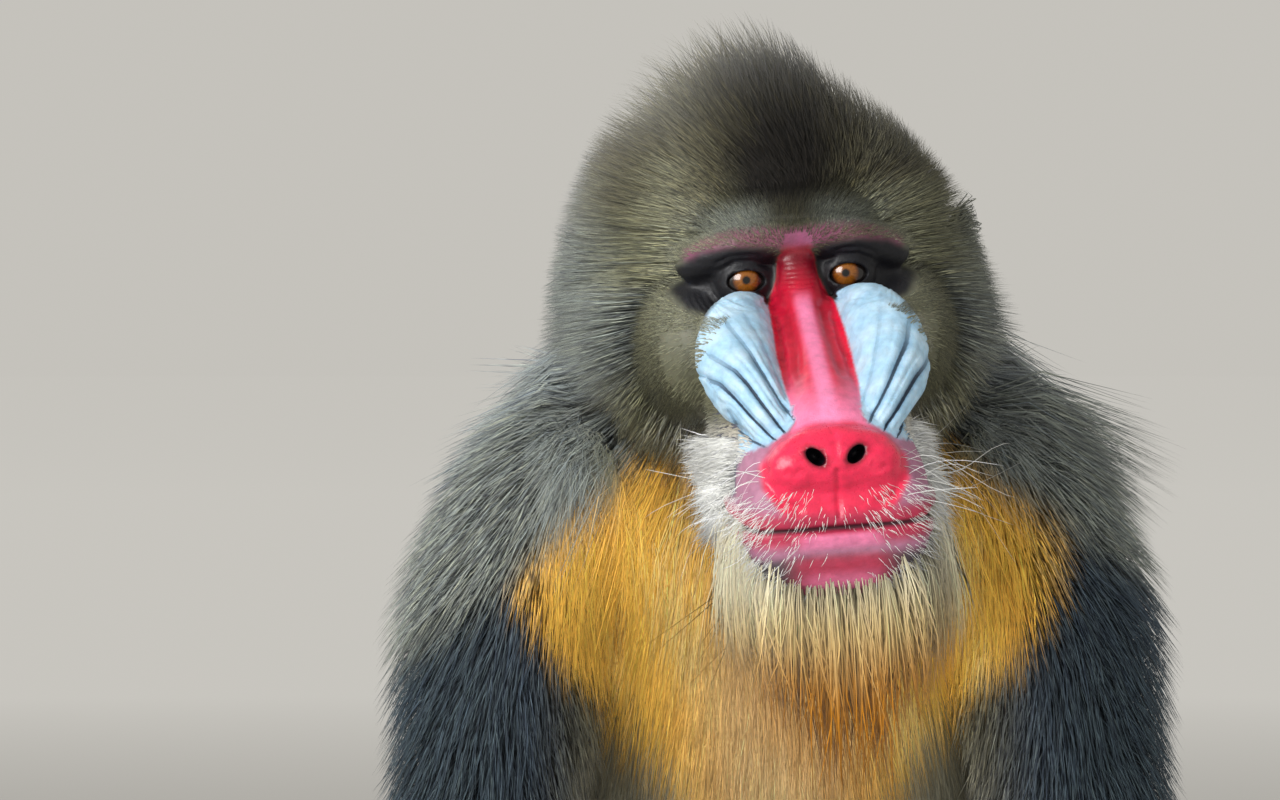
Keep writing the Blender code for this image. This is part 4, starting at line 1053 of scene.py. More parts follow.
@dataclass(frozen=True)
class HairFinish:
    """Keratin hair in combed tufts: fine streaks run from root to tip, with a soft gloss.

    Agouti hair is banded pale and dark along its length, which gives the speckle of the coat.
    """

    name: str
    roughness: float = 0.58
    specular: float = 0.22
    streaks: float = 4.0    # strands across one tuft
    bands: float = 0.0      # how strongly the bands show
    softness: float = 0.74  # how far the light follows the body's form, not each tuft's
    band_count: float = 5.5     # bands along one tuft

    def make(self) -> Material:
        """Build the material."""
        n = Nodes(self.name)
        strand = n.add("UVMap", uv_map="Strand")
        scaled = n.add("Mapping", {"Vector": strand, "Scale": (self.streaks, 0.8, 1)})
        streak = n.add("TexNoise", {"Vector": scaled, "Scale": 1.0, "Detail": 2.0,
                                    "Roughness": 0.55})
        shade = n.add("MapRange", (streak, 0.3, 0.7, 0.72, 1.25))
        if self.bands:
            tuft = n.add("Math", (n.add("SeparateXYZ", (strand,), "X"),), operation="FLOOR")
            along = n.add("SeparateXYZ", (strand,), "Y")
            # Each tuft reads the noise at a place of its own.
            place = n.add("CombineXYZ", (
                n.add("Math", (tuft, 7.31), operation="MULTIPLY"),
                n.add("Math", (along, self.band_count), operation="MULTIPLY")))
            speckle = n.add("TexNoise", {"Vector": place, "Scale": 1.0, "Detail": 1.0,
                                         "Roughness": 0.55})
            banded = n.add("MapRange", (speckle, 0.34, 0.66, 1 - self.bands,
                                        1 + self.bands * 1.25))
            shade = n.add("Math", (shade, banded), operation="MULTIPLY")
        # Dark hair is a little bluer than pale hair.
        cool = n.add("Math", (shade, 0.85), operation="POWER")
        grey = n.add("CombineColor", (shade, shade, cool))
        tint = n.add("Attribute", out="Color", attribute_name="tint")
        base = n.add("Mix", {0: 1.0, 6: tint, 7: grey}, 2, data_type="RGBA",
                     blend_type="MULTIPLY")
        facet = n.add("VectorMath", (n.add("NewGeometry", out="Normal"),
                                     (1 - self.softness,) * 3), operation="MULTIPLY")
        body = n.add("Attribute", out="Vector", attribute_name="soft_normal")
        form = n.add("VectorMath", (body, (self.softness,) * 3), operation="MULTIPLY")
        both = n.add("VectorMath", (facet, form), operation="ADD")
        soft = n.add("VectorMath", (both,), operation="NORMALIZE")
        return n.finish(
            Base_Color=base,
            Roughness=n.add("MapRange", (streak, 0.3, 0.7, self.roughness - 0.08,
                                         self.roughness + 0.1)),
            Specular_IOR_Level=self.specular, Sheen_Weight=0.15, Sheen_Roughness=0.45,
            Normal=n.add("Bump", {"Height": streak, "Distance": 0.0002, "Strength": 0.5,
                                  "Normal": soft}),
        )


@dataclass(frozen=True)
class SkinFinish:
    """Living skin, moist over the nose and smooth over the ribs, pored and finely wrinkled.

    Scales are in waves to the metre: mottling of 4.5 mm, folds of 1.6 mm, and pores of
    0.7 mm, which are coarser than real ones so that they show.
    """

    name: str = "living_skin"
    mottles: float = 220.0
    folds: float = 620.0
    pores: float = 1500.0
    groove_edge: tuple = (0.05, 0.105)      # of a groove, as shares of the rib spacing
    groove_strength: float = 0.96
    dry: float = 0.62
    moist: float = 0.3

    def make(self) -> Material:
        """Build the material."""
        n = Nodes(self.name)
        where = n.add("TexCoord", out="Object")
        tint = n.add("Attribute", out="Color", attribute_name="tint")
        gloss = n.add("Attribute", out="Fac", attribute_name="gloss")
        rib = n.add("Attribute", out="Fac", attribute_name="rib")
        mottle = n.add("TexNoise", {"Vector": where, "Scale": self.mottles, "Detail": 4.0,
                                    "Roughness": 0.6})
        fold = n.add("TexNoise", {"Vector": where, "Scale": self.folds, "Detail": 3.0,
                                  "Roughness": 0.6})
        pore = n.add("TexVoronoi", {"Vector": where, "Scale": self.pores}, "Distance")
        shade = n.add("MapRange", (mottle, 0.25, 0.75, 0.8, 1.16))
        grey = n.add("CombineColor", (shade, shade, shade))
        base = n.add("Mix", {0: 1.0, 6: tint, 7: grey}, 2, data_type="RGBA",
                     blend_type="MULTIPLY")
        # A groove runs wherever the rib value is whole.
        off = n.add("Math", (rib, n.add("Math", (rib,), operation="ROUND")),
                    operation="SUBTRACT")
        stray = n.add("MapRange", (fold, 0.3, 0.7, -0.012, 0.012))
        across = n.add("Math", (n.add("Math", (off,), operation="ABSOLUTE"), stray),
                       operation="ADD")
        line = n.add("MapRange", (across, *self.groove_edge, 1.0, 0.0),
                     interpolation_type="SMOOTHSTEP")
        # Navy along each groove: partly the groove's deeper skin, partly painted shade.
        dark = n.add("Attribute", out="Fac", attribute_name="groove")
        groove = n.add("Math", (line, dark), operation="MULTIPLY")
        share = n.add("Math", (groove, self.groove_strength), operation="MULTIPLY")
        base = n.add("Mix", {0: share, 6: base, 7: colour(MARKINGS.navy)}, 2,
                     data_type="RGBA")
        sheen = n.add("MapRange", (gloss, 0.0, 1.0, self.dry, self.moist))
        uneven = n.add("MapRange", (fold, 0.3, 0.7, -0.05, 0.07))
        height = n.add("Math", (n.add("Math", (pore, -0.5), operation="MULTIPLY"), fold),
                       operation="ADD")
        normal = n.add("Bump", {"Height": height, "Distance": 0.00022, "Strength": 0.75})
        sunk = n.add("Math", (groove, -1.0), operation="MULTIPLY")
        return n.finish(
            Base_Color=base, Roughness=n.add("Math", (sheen, uneven), operation="ADD"),
            Normal=n.add("Bump", {"Height": sunk, "Distance": 0.0006, "Strength": 0.8,
                                  "Normal": normal}),
            Specular_IOR_Level=0.45, Subsurface_Weight=0.1,
            Subsurface_Radius=(0.004, 0.0016, 0.001), Coat_Weight=0.12, Coat_Roughness=0.35,
        )


@dataclass(frozen=True)
class EyeFinish:
    """A living eye: an amber iris with dark spokes and rim round a round pupil, under tears."""

    name: str = "eye_under_tears"
    iris: float = 0.00655   # radius of the iris
    pupil: float = 0.0016
    stops: tuple = ((0.0, "#4A2608"), (0.2, "#8A5214"), (0.6, "#7E4810"), (0.86, "#482206"),
                    (1.0, "#120A06"))
    pupil_black: str = "#040303"
    white: str = "#140E0C"      # the ball round the iris, nearly black in this animal

    def make(self) -> Material:
        """Build the material. The eye's own Z axis looks out through the pupil."""
        n = Nodes(self.name)
        place = n.add("Attribute", out="Vector", attribute_name="gaze")
        x = n.add("SeparateXYZ", (place,), "X")
        y = n.add("SeparateXYZ", (place,), "Y")
        radius = n.add("VectorMath", (n.add("CombineXYZ", (x, y)),), "Value",
                       operation="LENGTH")
        turn = n.add("Math", (x, y), operation="ARCTAN2")
        spoke = n.add("CombineXYZ", (n.add("Math", (turn, 9.0), operation="MULTIPLY"),
                                     n.add("Math", (radius, 320.0), operation="MULTIPLY")))
        rays = n.add("TexNoise", {"Vector": spoke, "Scale": 1.0, "Detail": 3.0,
                                  "Roughness": 0.55})
        from_pupil = n.add("MapRange", (radius, self.pupil, self.iris, 0.0, 1.0))
        amber = n.add("ValToRGB", (from_pupil,))
        edge = amber.node.color_ramp
        edge.elements[0].color = colour(self.stops[0][1])
        edge.elements[1].color = colour(self.stops[-1][1])
        for at, code in self.stops[1:-1]:
            edge.elements.new(at).color = colour(code)
        shade = n.add("MapRange", (rays, 0.3, 0.7, 0.62, 1.3))
        grey = n.add("CombineColor", (shade, shade, shade))
        base = n.add("Mix", {0: 1.0, 6: amber, 7: grey}, 2, data_type="RGBA",
                     blend_type="MULTIPLY")
        hole = n.add("MapRange", (radius, self.pupil * 0.9, self.pupil * 1.1, 1.0, 0.0))
        outer = n.add("MapRange", (radius, self.iris * 0.94, self.iris * 1.04, 0.0, 1.0))
        for share, code in ((hole, self.pupil_black), (outer, self.white)):
            base = n.add("Mix", {0: share, 6: base, 7: colour(code)}, 2, data_type="RGBA")
        return n.finish(Base_Color=base, Roughness=0.22, Specular_IOR_Level=0.5,
                        Coat_Weight=1.0, Coat_Roughness=0.03, Coat_IOR=1.376)


@dataclass(frozen=True)
class NailFinish:
    """Horn: dark, faintly ridged every 0.7 mm along its length, with a dull polish."""

    name: str = "nail_horn"
    ridges: float = 1400.0      # waves to the metre
    dark: str = "#1B1716"
    pale: str = "#3D3430"

    def make(self) -> Material:
        """Build the material."""
        n = Nodes(self.name)
        ridge = n.add("TexNoise", {"Vector": n.add("TexCoord", out="Object"),
                                   "Scale": self.ridges, "Detail": 2.0, "Roughness": 0.55})
        base = n.add("Mix", {0: ridge, 6: colour(self.dark), 7: colour(self.pale)}, 2,
                     data_type="RGBA")
        return n.finish(
            Base_Color=base, Roughness=n.add("MapRange", (ridge, 0.0, 1.0, 0.28, 0.48)),
            Normal=n.add("Bump", {"Height": ridge, "Distance": 0.0001, "Strength": 0.5}))


@dataclass(frozen=True)
class FloorFinish:
    """A matt painted studio floor, which passes into the even glow of the backdrop."""

    name: str = "studio_floor"
    paint: tuple = ("#ABA8A2", "#9A968E")
    grain: float = 60.0         # waves to the metre
    tone: str = "#D9D6CF"
    fade: tuple = (1.2, 7.0)    # where the paint begins and ends to pass into the glow
    glow: float = 0.8

    def make(self) -> Material:
        """Build the material."""
        n = Nodes(self.name)
        where = n.add("TexCoord", out="Object")
        grain = n.add("TexNoise", {"Vector": where, "Scale": self.grain, "Detail": 4.0,
                                   "Roughness": 0.55})
        worn = n.add("MapRange", (grain, 0.3, 0.7, 0.0, 0.1))
        base = n.add("Mix", {0: worn, 6: colour(self.paint[0]), 7: colour(self.paint[1])}, 2,
                     data_type="RGBA")
        gap = n.add("VectorMath", (where,), "Value", operation="LENGTH")
        far = n.add("MapRange", (gap, *self.fade, 0.0, 1.0))
        base = n.add("Mix", {0: far, 6: base, 7: colour("#000000")}, 2, data_type="RGBA")
        return n.finish(Base_Color=base, Roughness=0.8, Specular_IOR_Level=0.1,
                        Emission_Color=colour(self.tone),
                        Emission_Strength=n.add("Math", (far, self.glow),
                                                operation="MULTIPLY"))


# The skin


class Skin:
    """One closed surface over the whole animal, with the face's relief carved into it."""

    head_voxel = 0.00175
    body_voxel = 0.0034
    paw_voxel = 0.002
    body_share = 0.45       # of the remesh's triangles that the body and paws keep
    paw_share = 0.4
    most_triangles = 188_000
    floor_gap = 0.0004

    def __init__(self) -> None:
        """Nothing is built yet."""
        self.obj: Object | None = None
        self.nails: list = []

    def build(self) -> Object:
        """Blend the flesh, cut the openings and carve the relief.

        Returns:
            The skin.
        """
        head = self.make_head()
        body = self.make_body()
        paws = []
        for paw in (HAND, FOOT):
            for way in (1, -1):
                pieces, nails = paw.build()
                if way < 0:
                    pieces = [moved(piece, MIRROR) for piece in pieces]
                    nails = [(MIRROR @ p, MIRROR.to_3x3() @ aim, r) for p, aim, r in nails]
                self.nails += nails
                paws.append(blended(pieces, self.paw_voxel, 3, self.paw_share))
        whole = boolean(head, [body, *paws], "UNION")
        whole.data.calc_loop_triangles()
        self.obj = fewer_faces(whole, self.most_triangles / len(whole.data.loop_triangles))
        self.obj.name = "skin"
        self.obj.data.name = "skin"
        self.press_floor()
        return self.obj

    def make_body(self) -> Object:
        """The trunk, neck, limbs and tail as one soft form."""
        pieces = [loft(BONES.trunk, sides=40), loft(BONES.neck, sides=36)]
        for way in (1, -1):
            for (x, y, z), radii in (BONES.shoulder, BONES.buttock):
                pieces.append(ellipsoid((way * x, y, z), radii))
            for part in (BONES.upper_arm, BONES.forearm, BONES.thigh, BONES.shin):
                pieces.append(loft(sided(part, way)))
        pieces.append(loft(BONES.tail))
        return blended(pieces, self.body_voxel, 6, self.body_share)

    def muzzle(self) -> Object:
        """Both jaws as one closed loft of upright boxy sections with a rounded front."""
        rows = smooth_sections(tuple(((f, 0, 0), *rest) for f, *rest in HEAD.muzzle), 5)
        rows = [(row[0].x, *row[1:]) for row in rows]
        bm = bmesh.new()
        rings = []
        last = rows[-1]
        for k in (0.25, 0.5, 0.7, 0.85, 0.95):
            shrink = math.sqrt(1 - k * k)
            middle, half = (last[1] + last[2]) / 2, (last[1] - last[2]) / 2
            tall = half * (shrink * 0.5 + 0.5)
            rows.append((last[0] + HEAD.bulge * k, middle + tall, middle - tall,
                         last[3] * (shrink * 0.6 + 0.4), last[4]))
        for forward, top, bottom, wide, dorsum in rows:
            middle, half = (top + bottom) / 2, (top - bottom) / 2
            ring = []
            for c, s in round_turns(56, 0.74):
                narrow = 1 - (1 - dorsum) * max(0.0, s) ** 2
                ring.append(bm.verts.new((wide * c * narrow, -forward, middle + half * s)))
            rings.append(ring)
        close(bm, rings)
        return from_bmesh("muzzle", bm)

    def ear(self, way: int) -> list:
        """A naked ear: a thin cup with a rolled rim, a little pointed at the top.

        Args:
            way: The side: 1 left, -1 right.

        Returns:
            The ear's pieces.
        """
        (x, y, z), (thick, deep, tall) = HEAD.ear
        rim = []
        for k in range(25):
            turn = 2 * math.pi * k / 24
            c, s = math.cos(turn), math.sin(turn)
            point = 0.16 * max(0.0, s) ** 4
            rim.append(Vector((x + thick + 0.3 * deep * c, y + deep * c, z + tall * (s + point))))
        pieces = [rounded_tube(rim, [0.0019] * len(rim), 10)]
        cup = ellipsoid((x + thick * 0.6, y, z), (0.0045, deep, tall * 1.02))
        dish = ellipsoid((x + thick * 1.5, y, z), (0.0062, deep * 0.84, tall * 0.86))
        pieces.append(boolean(cup, [dish], "DIFFERENCE"))
        pieces.append(ellipsoid((x - 0.004, y, z), (0.012, 0.009, 0.012)))
        fold = [Vector((x + thick * 0.7, y - deep * 0.5, z + tall * 0.5)),
                Vector((x + thick * 0.8, y - deep * 0.1, z + tall * 0.1)),
                Vector((x + thick * 0.7, y - deep * 0.3, z - tall * 0.5))]
        pieces.append(rounded_tube(fold, [0.0016, 0.002, 0.0014], 10))
        if way < 0:
            pieces = [moved(piece, MIRROR) for piece in pieces]
        return pieces

    def make_head(self) -> Object:
        """The head at fine resolution, with its eyes, nostrils and relief."""
        pieces = [
            ellipsoid(*HEAD.cranium), ellipsoid(*HEAD.face), ellipsoid(*HEAD.throat),
            ellipsoid(*HEAD.nose), self.muzzle(),
            rounded_tube([Vector(p) for p in HEAD.brow], [HEAD.brow_radius] * 5, 20),
            rounded_tube([Vector(p) for p in HEAD.bridge], HEAD.bridge_radii),
        ]
        openings = []
        for way in (1, -1):
            (x, y, z), radii = HEAD.cheek
            pieces.append(ellipsoid((way * x, y, z), radii))
            pieces.append(loft(sided(HEAD.swelling, way), front=(0.3 * way, -0.4, 0.85)))
            ball = Vector((way * HEAD.eye_x, HEAD.eye_depth, 0))
            pieces.append(ellipsoid(ball, [HEAD.eye_radius + HEAD.socket_wall] * 3))
            pieces += self.lids(way)
            pieces += self.ear(way)
            pieces += [ellipsoid(*wing) for wing in sided(HEAD.wings, way)]
            gap = Vector((way * HEAD.eye_x, HEAD.eye_depth - HEAD.eye_radius, -0.0004))
            openings.append(ellipsoid(gap, HEAD.eye_opening, 24, 16))
            (x, y, z), radii = HEAD.nostril
            turn = (0, way * HEAD.nostril_turn, 0)
            openings.append(ellipsoid((way * x, y, z), radii, 24, 16, turn))
        pieces += [self.lip(rise, radius) for rise, radius in HEAD.lips]
        head = blended(pieces, self.head_voxel, 4)
        self.refine(head.data)
        self.carve(head.data)
        head = boolean(head, openings, "DIFFERENCE")
        return moved(head, HEAD.matrix())

    def lids(self, way: int) -> list:
        """Upper and lower lid: soft rims that close over the eyeball's edge.

        Args:
            way: The side: 1 left, -1 right.

        Returns:
            The two lids.
        """
        made = []
        over = HEAD.eye_radius + HEAD.lid_gap
        for height, radius in HEAD.lids:
            path = []
            for t in np.linspace(-1, 1, 9):
                aside, z = t * HEAD.lid_reach, height * (1 - t * t)
                y = HEAD.eye_depth - math.sqrt(max(over ** 2 - aside ** 2 - z ** 2, 1e-6))
                path.append(Vector((way * (HEAD.eye_x + aside), y, z)))
            made.append(rounded_tube(path, [radius] * 9, 12))
        return made

    def lip(self, rise: float, radius: float) -> Object:
        """A soft roll round the muzzle, this far over the lip line."""
        path = [Vector((x, -f, HEAD.lip_line(f) + rise)) for x, f in HEAD.lip_path]
        path += [Vector((-p.x, p.y, p.z)) for p in reversed(path[:-1])]
        return rounded_tube(path, [radius] * len(path), 16)

    def carve(self, mesh: Mesh) -> None:
        """Press the ribs, furrows and wrinkles into the head's surface.

        Args:
            mesh: The head in its own frame.
        """
        places, normals = vertex_arrays(mesh)
        x, y, z = places.T
        flat = front_view(places)
        facing = ramp(-normals[:, 1] + 0.6 * normals[:, 2], -0.1, 0.3)
        facing = facing * ramp(y, 0.02, 0.005)
        push = np.zeros(len(places))
        blue = inside(flat, SWELLING, 0.004) * ramp(swelling_near(places), 1.22, 1.1)
        rib, dark = Markings.ribs(places)
        across = np.abs(rib - np.round(rib))
        deep = np.clip(dark * 1.1 + 0.12, 0, 1) * blue
        push -= deep * 0.0017 * np.exp(-(across / 0.13) ** 2)
        push += deep * 0.0007 * ramp(across, 0.1, 0.4)
        for depth, wide, line in (*CREASES, *MIDLINE):
            gap, where = segment_distance(flat, MM * np.array(line))
            ends = ramp(np.minimum(where, 1 - where), 0.0, 0.15)
            if line[0][0] == 0:
                ends = 1.0      # a line down the middle keeps its depth
            push -= depth * MM * np.exp(-(gap / (wide * 1.4 * MM)) ** 2) * facing * ends
        # Fine cross wrinkles between the eyes and soft folds under them.
        between = ramp(np.abs(x), 0.01, 0.006) * ramp(np.abs(z), 0.01, 0.005)
        stray = ripple(places, 0.01, 9)
        push += 0.00018 * np.sin(z * 2 * np.pi / 0.0022 + stray[:, 0] * 1.6) * between * facing
        socket = inside(flat, SOCKET, 0.006)
        ring = np.hypot(np.abs(x) - HEAD.eye_x, z * 1.15)
        folds = socket * ramp(ring, 0.0115, 0.015) * ramp(z, 0.006, -0.004)
        push += 0.00016 * np.sin(ring * 2 * np.pi / 0.0024 + stray[:, 1] * 2.2) * folds * facing
        mouth = np.abs(z - HEAD.lip_line(-y))
        push -= 0.0016 * np.exp(-(mouth / 0.0012) ** 2) * ramp(y, -0.045, -0.07)
        push += ripple(places, 0.012, 5)[:, 0] * 0.0003
        set_places(mesh, places + normals * push[:, None])

    @staticmethod
    def refine(mesh: Mesh) -> None:
        """Halve the mesh's cells over the bare face, where the relief is finest.

        Args:
            mesh: The head in its own frame.
        """
        bm = bmesh.new()
        bm.from_mesh(mesh)
        own = np.array([tuple(v.co) for v in bm.verts])
        flat = front_view(own)
        fine = (inside(flat, SWELLING, 0.004) + inside(flat, STRIP, 0.004) > 0.1)
        fine |= inside(flat, SOCKET, 0.004) > 0.1
        fine &= own[:, 1] < 0.012
        fine |= (own[:, 1] < -0.098) & (own[:, 2] > -0.128)
        edges = [e for e in bm.edges if fine[e.verts[0].index] and fine[e.verts[1].index]]
        made = bmesh.ops.subdivide_edges(bm, edges=edges, cuts=1, use_grid_fill=True)
        verts = [v for v in made["geom_inner"] if isinstance(v, BMVert)]
        bmesh.ops.smooth_vert(bm, verts=verts, factor=0.5, use_axis_x=True, use_axis_y=True,
                              use_axis_z=True)
        bmesh.ops.triangulate(bm, faces=[f for f in bm.faces if len(f.verts) > 4])
        bm.to_mesh(mesh)
        bm.free()

    def press_floor(self) -> None:
        """Flatten what would dip under the floor, as weight does."""
        places, _ = vertex_arrays(self.obj.data)
        places[:, 2] = np.maximum(places[:, 2], self.floor_gap)
        set_places(self.obj.data, places)

    def dress(self, material: Material) -> None:
        """Store the markings on the skin and give it its finish.

        Args:
            material: The skin's finish.
        """
        mesh = self.obj.data
        places, _ = vertex_arrays(mesh)
        marks = MARKINGS.skin(places)
        set_colour(mesh, "tint", marks.pop("tint"))
        for name, values in marks.items():
            store(mesh, name, values)
        mesh.materials.clear()
        mesh.materials.append(material)
        mesh.shade_smooth()


# The coat


class Region(Enum):
    """The parts of the coat, each a piece or two of its own."""

    CROWN = "crown"
    CHEEKS = "cheeks"
    FACE = "face"
    NECK = "neck"
    CHEST = "chest"
    BACK = "back"
    BELLY = "belly"
    UPPER_ARMS = "upper_arms"
    FOREARMS = "forearms"
    THIGHS = "thighs"
    SHINS = "shins"
    TAIL = "tail"
    PAWS = "paws"
    BARE = "bare"


@dataclass(frozen=True)
class CoatStyle:
    """How one region's hair is cut and laid."""

    over: int               # bent guard tufts
    under: int              # straight tufts of the underfur
    width: float            # of one tuft, in metres
    stretch: float = 1.3    # length as a multiple of the coat's depth
    clump: float = 0.25     # how far tips lean together
    clump_size: int = 14    # tufts in one clump
    spread: float = 0.14    # how far each tuft strays from the lie
    sag: float = 0.0        # how far a tip falls, as a share of its length
    stand: tuple = (0.45, 0.95)   # height of the tips, as shares of the coat's depth
    slot: str = "coat_olive"
    finish: str = "agouti_hair"
    # How bright a tuft's root is, as a share of its colour: painted shade deep in the coat.
    root_shade: float = 0.52
    vary: float = 0.1      # how far tufts differ in shade


REGIONS = list(Region)
# Where the rings of a tuft are along it.
BENT = (0.0, 0.45)
STRAIGHT = (0.0,)
LONG = (0.0, 0.36, 0.7)
WHISKER = tuple(np.linspace(0, 0.92, 9))

STYLES = {
    Region.CROWN: CoatStyle(11500, 28000, 0.00058, 1.25, 0.34, 22, 0.11, stand=(0.4, 0.88)),
    Region.CHEEKS: CoatStyle(11500, 30000, 0.00055, 1.25, 0.16, 10, 0.12, stand=(0.35, 0.82)),
    Region.FACE: CoatStyle(0, 17000, 0.00054, 2.0, 0.1, 6, vary=0.24),
    Region.NECK: CoatStyle(8000, 4500, 0.00095, 1.35, 0.3, 12, 0.2, 0.1, slot="coat_slate"),
    Region.CHEST: CoatStyle(13000, 8000, 0.0008, 1.5, 0.26, 12, 0.17, 0.08, slot="coat_gold",
                            finish="soft_hair", root_shade=0.92),
    Region.BACK: CoatStyle(7000, 5000, 0.0017, 1.5, 0.32, 12),
    Region.BELLY: CoatStyle(3000, 1500, 0.0017, 1.5, 0.32, 12, 0.14, 0.05),
    Region.UPPER_ARMS: CoatStyle(11000, 6500, 0.00094, 1.5, 0.3, 12, 0.16, 0.06,
                                 slot="coat_slate"),
    Region.FOREARMS: CoatStyle(3600, 2000, 0.0016, 1.5, 0.3, 12, slot="coat_slate"),
    Region.THIGHS: CoatStyle(4600, 2600, 0.00185, 1.5, 0.3, 12),
    Region.SHINS: CoatStyle(1800, 2400, 0.0016, 1.5, 0.25, 12),
    Region.TAIL: CoatStyle(900, 400, 0.0016, 1.5, 0.25, 12),
    Region.PAWS: CoatStyle(0, 2600, 0.0008, 2.2, 0.15, 8),
}
# The outline of the head's hair seen from the front: height over the eyes, the middle, and
# half the width. The crest leans to the animal's right.
HEAD_OUTLINE = np.array((
    (-0.08, 0.000, 0.132), (-0.034, -0.003, 0.123), (0.003, -0.006, 0.112),
    (0.036, -0.006, 0.102), (0.064, -0.009, 0.084), (0.085, -0.013, 0.068),
    (0.101, -0.016, 0.051), (0.115, -0.018, 0.036), (0.13, -0.02, 0.02),
))
# Height over the floor and half width of the gold bib.
BIB_OUTLINE = np.array((
    (0.325, 0.02), (0.375, 0.055), (0.403, 0.08), (0.431, 0.108), (0.468, 0.136), (0.525, 0.146),
    (0.545, 0.118), (0.56, 0.07),
))


def curve(start: Array, bend: Array, tip: Array, t: float) -> Array:
    """Places at t along curves from start to tip, drawn towards bend."""
    return start * (1 - t) ** 2 + bend * 2 * t * (1 - t) + tip * t * t


class Tufts:
    """Closed three-sided tapered tufts, built as arrays."""

    ridge = 0.42    # height of a tuft's ridge as a share of its width

    def __init__(self, name: str) -> None:
        """Start an empty set under this name."""
        self.name = name

    def build(self, line: Array, up: Array, width: Array, ring_at: tuple,
              colours: Array, patch: Array, seed: int) -> Object:
        """Make one mesh of tufts.

        Args:
            line: Each tuft's ring middles and tip, tufts by points by 3.
            up: The skin's normal under each tuft, which its ridge faces and its light follows.
            width: Each tuft's width.
            ring_at: Places of the rings along the tuft, from 0.
            colours: Each tuft's colour at its rings and tip.
            patch: Each tuft's place on the bake map.
            seed: Picks the strand pattern's offset.

        Returns:
            The object.
        """
        count, points, _ = line.shape
        rings = points - 1
        ahead = np.empty_like(line)
        ahead[:, :-1] = line[:, 1:] - line[:, :-1]
        ahead[:, -1] = ahead[:, -2]
        ahead = unit(ahead)
        side = unit(np.cross(up[:, None, :], ahead))
        out = unit(np.cross(ahead, side))
        taper = np.array([0.72 if i == 0 else 1.0 - 0.55 * max(0.0, at - 0.3)
                          for i, at in enumerate(ring_at)])
        half = width[:, None] * taper[None, :] / 2
        verts = np.empty((count, rings * 3 + 1, 3))
        for i in range(rings):
            wide = side[:, i] * half[:, i:i + 1]
            verts[:, i * 3] = line[:, i] + wide
            verts[:, i * 3 + 1] = line[:, i] + out[:, i] * half[:, i:i + 1] * 2 * self.ridge
            verts[:, i * 3 + 2] = line[:, i] - wide
        verts[:, -1] = line[:, -1]
        faces = [(0, 1, 2)]
        for i in range(rings - 1):
            for k in range(3):
                a, b = i * 3 + k, i * 3 + (k + 1) % 3
                faces += [(a, a + 3, b + 3), (a, b + 3, b)]
        last = (rings - 1) * 3
        faces += [(last + k, rings * 3, last + (k + 1) % 3) for k in range(3)]
        faces = np.array(faces)
        per = rings * 3 + 1
        corners = (faces[None] + np.arange(count)[:, None, None] * per).reshape(-1)
        mesh = bpy.data.meshes.new(self.name)
        mesh.vertices.add(count * per)
        mesh.vertices.foreach_set("co", verts.astype(np.float32).ravel())
        mesh.loops.add(len(corners))
        mesh.loops.foreach_set("vertex_index", corners.astype(np.int32))
        total = len(faces) * count
        mesh.polygons.add(total)
        mesh.polygons.foreach_set("loop_start", np.arange(0, total * 3, 3, dtype=np.int32))
        mesh.update(calc_edges=True)
        local_u = np.array([0.0, 0.5, 1.0] * rings + [0.5])
        local_v = np.array([at for at in ring_at for _ in range(3)] + [1.0])
        u = patch[:, 0:1] + (local_u - 0.5)[None] * TUFT_PATCH
        v = patch[:, 1:2] + (local_v - 0.5)[None] * TUFT_PATCH
        self.add_map(mesh, BAKE_MAP, u, v, corners)
        shift = np.random.default_rng(seed).integers(0, 900, (count, 1))
        self.add_map(mesh, "Strand", local_u[None] * 0.98 + 0.01 + shift,
                     np.broadcast_to(local_v, (count, per)), corners)
        store(mesh, "soft_normal", np.repeat(up, per, axis=0))
        tint = np.repeat(colours[:, :rings], 3, axis=1)
        tint = np.concatenate([tint, colours[:, -1:]], axis=1)
        set_colour(mesh, "tint", tint.reshape(-1, 3))
        mesh.shade_smooth()
        return link(self.name, mesh)

    @staticmethod
    def add_map(mesh: Mesh, name: str, u: Array, v: Array,
                corners: Array) -> None:
        """Add a UV map from the values at each vertex."""
        both = np.stack([u, v], axis=-1).reshape(-1, 2)[corners]
        mesh.uv_layers.new(name=name).data.foreach_set("uv", both.astype(np.float32).ravel())


@dataclass
class Roots:
    """Where tufts grow, and what the body is like there."""

    places: Array
    normals: Array
    axis: Array        # the way that hair runs along the part
    depth: Array       # the coat's depth
    patch: Array       # place on the unwrap
    wide: Array        # how much wider than usual a tuft is


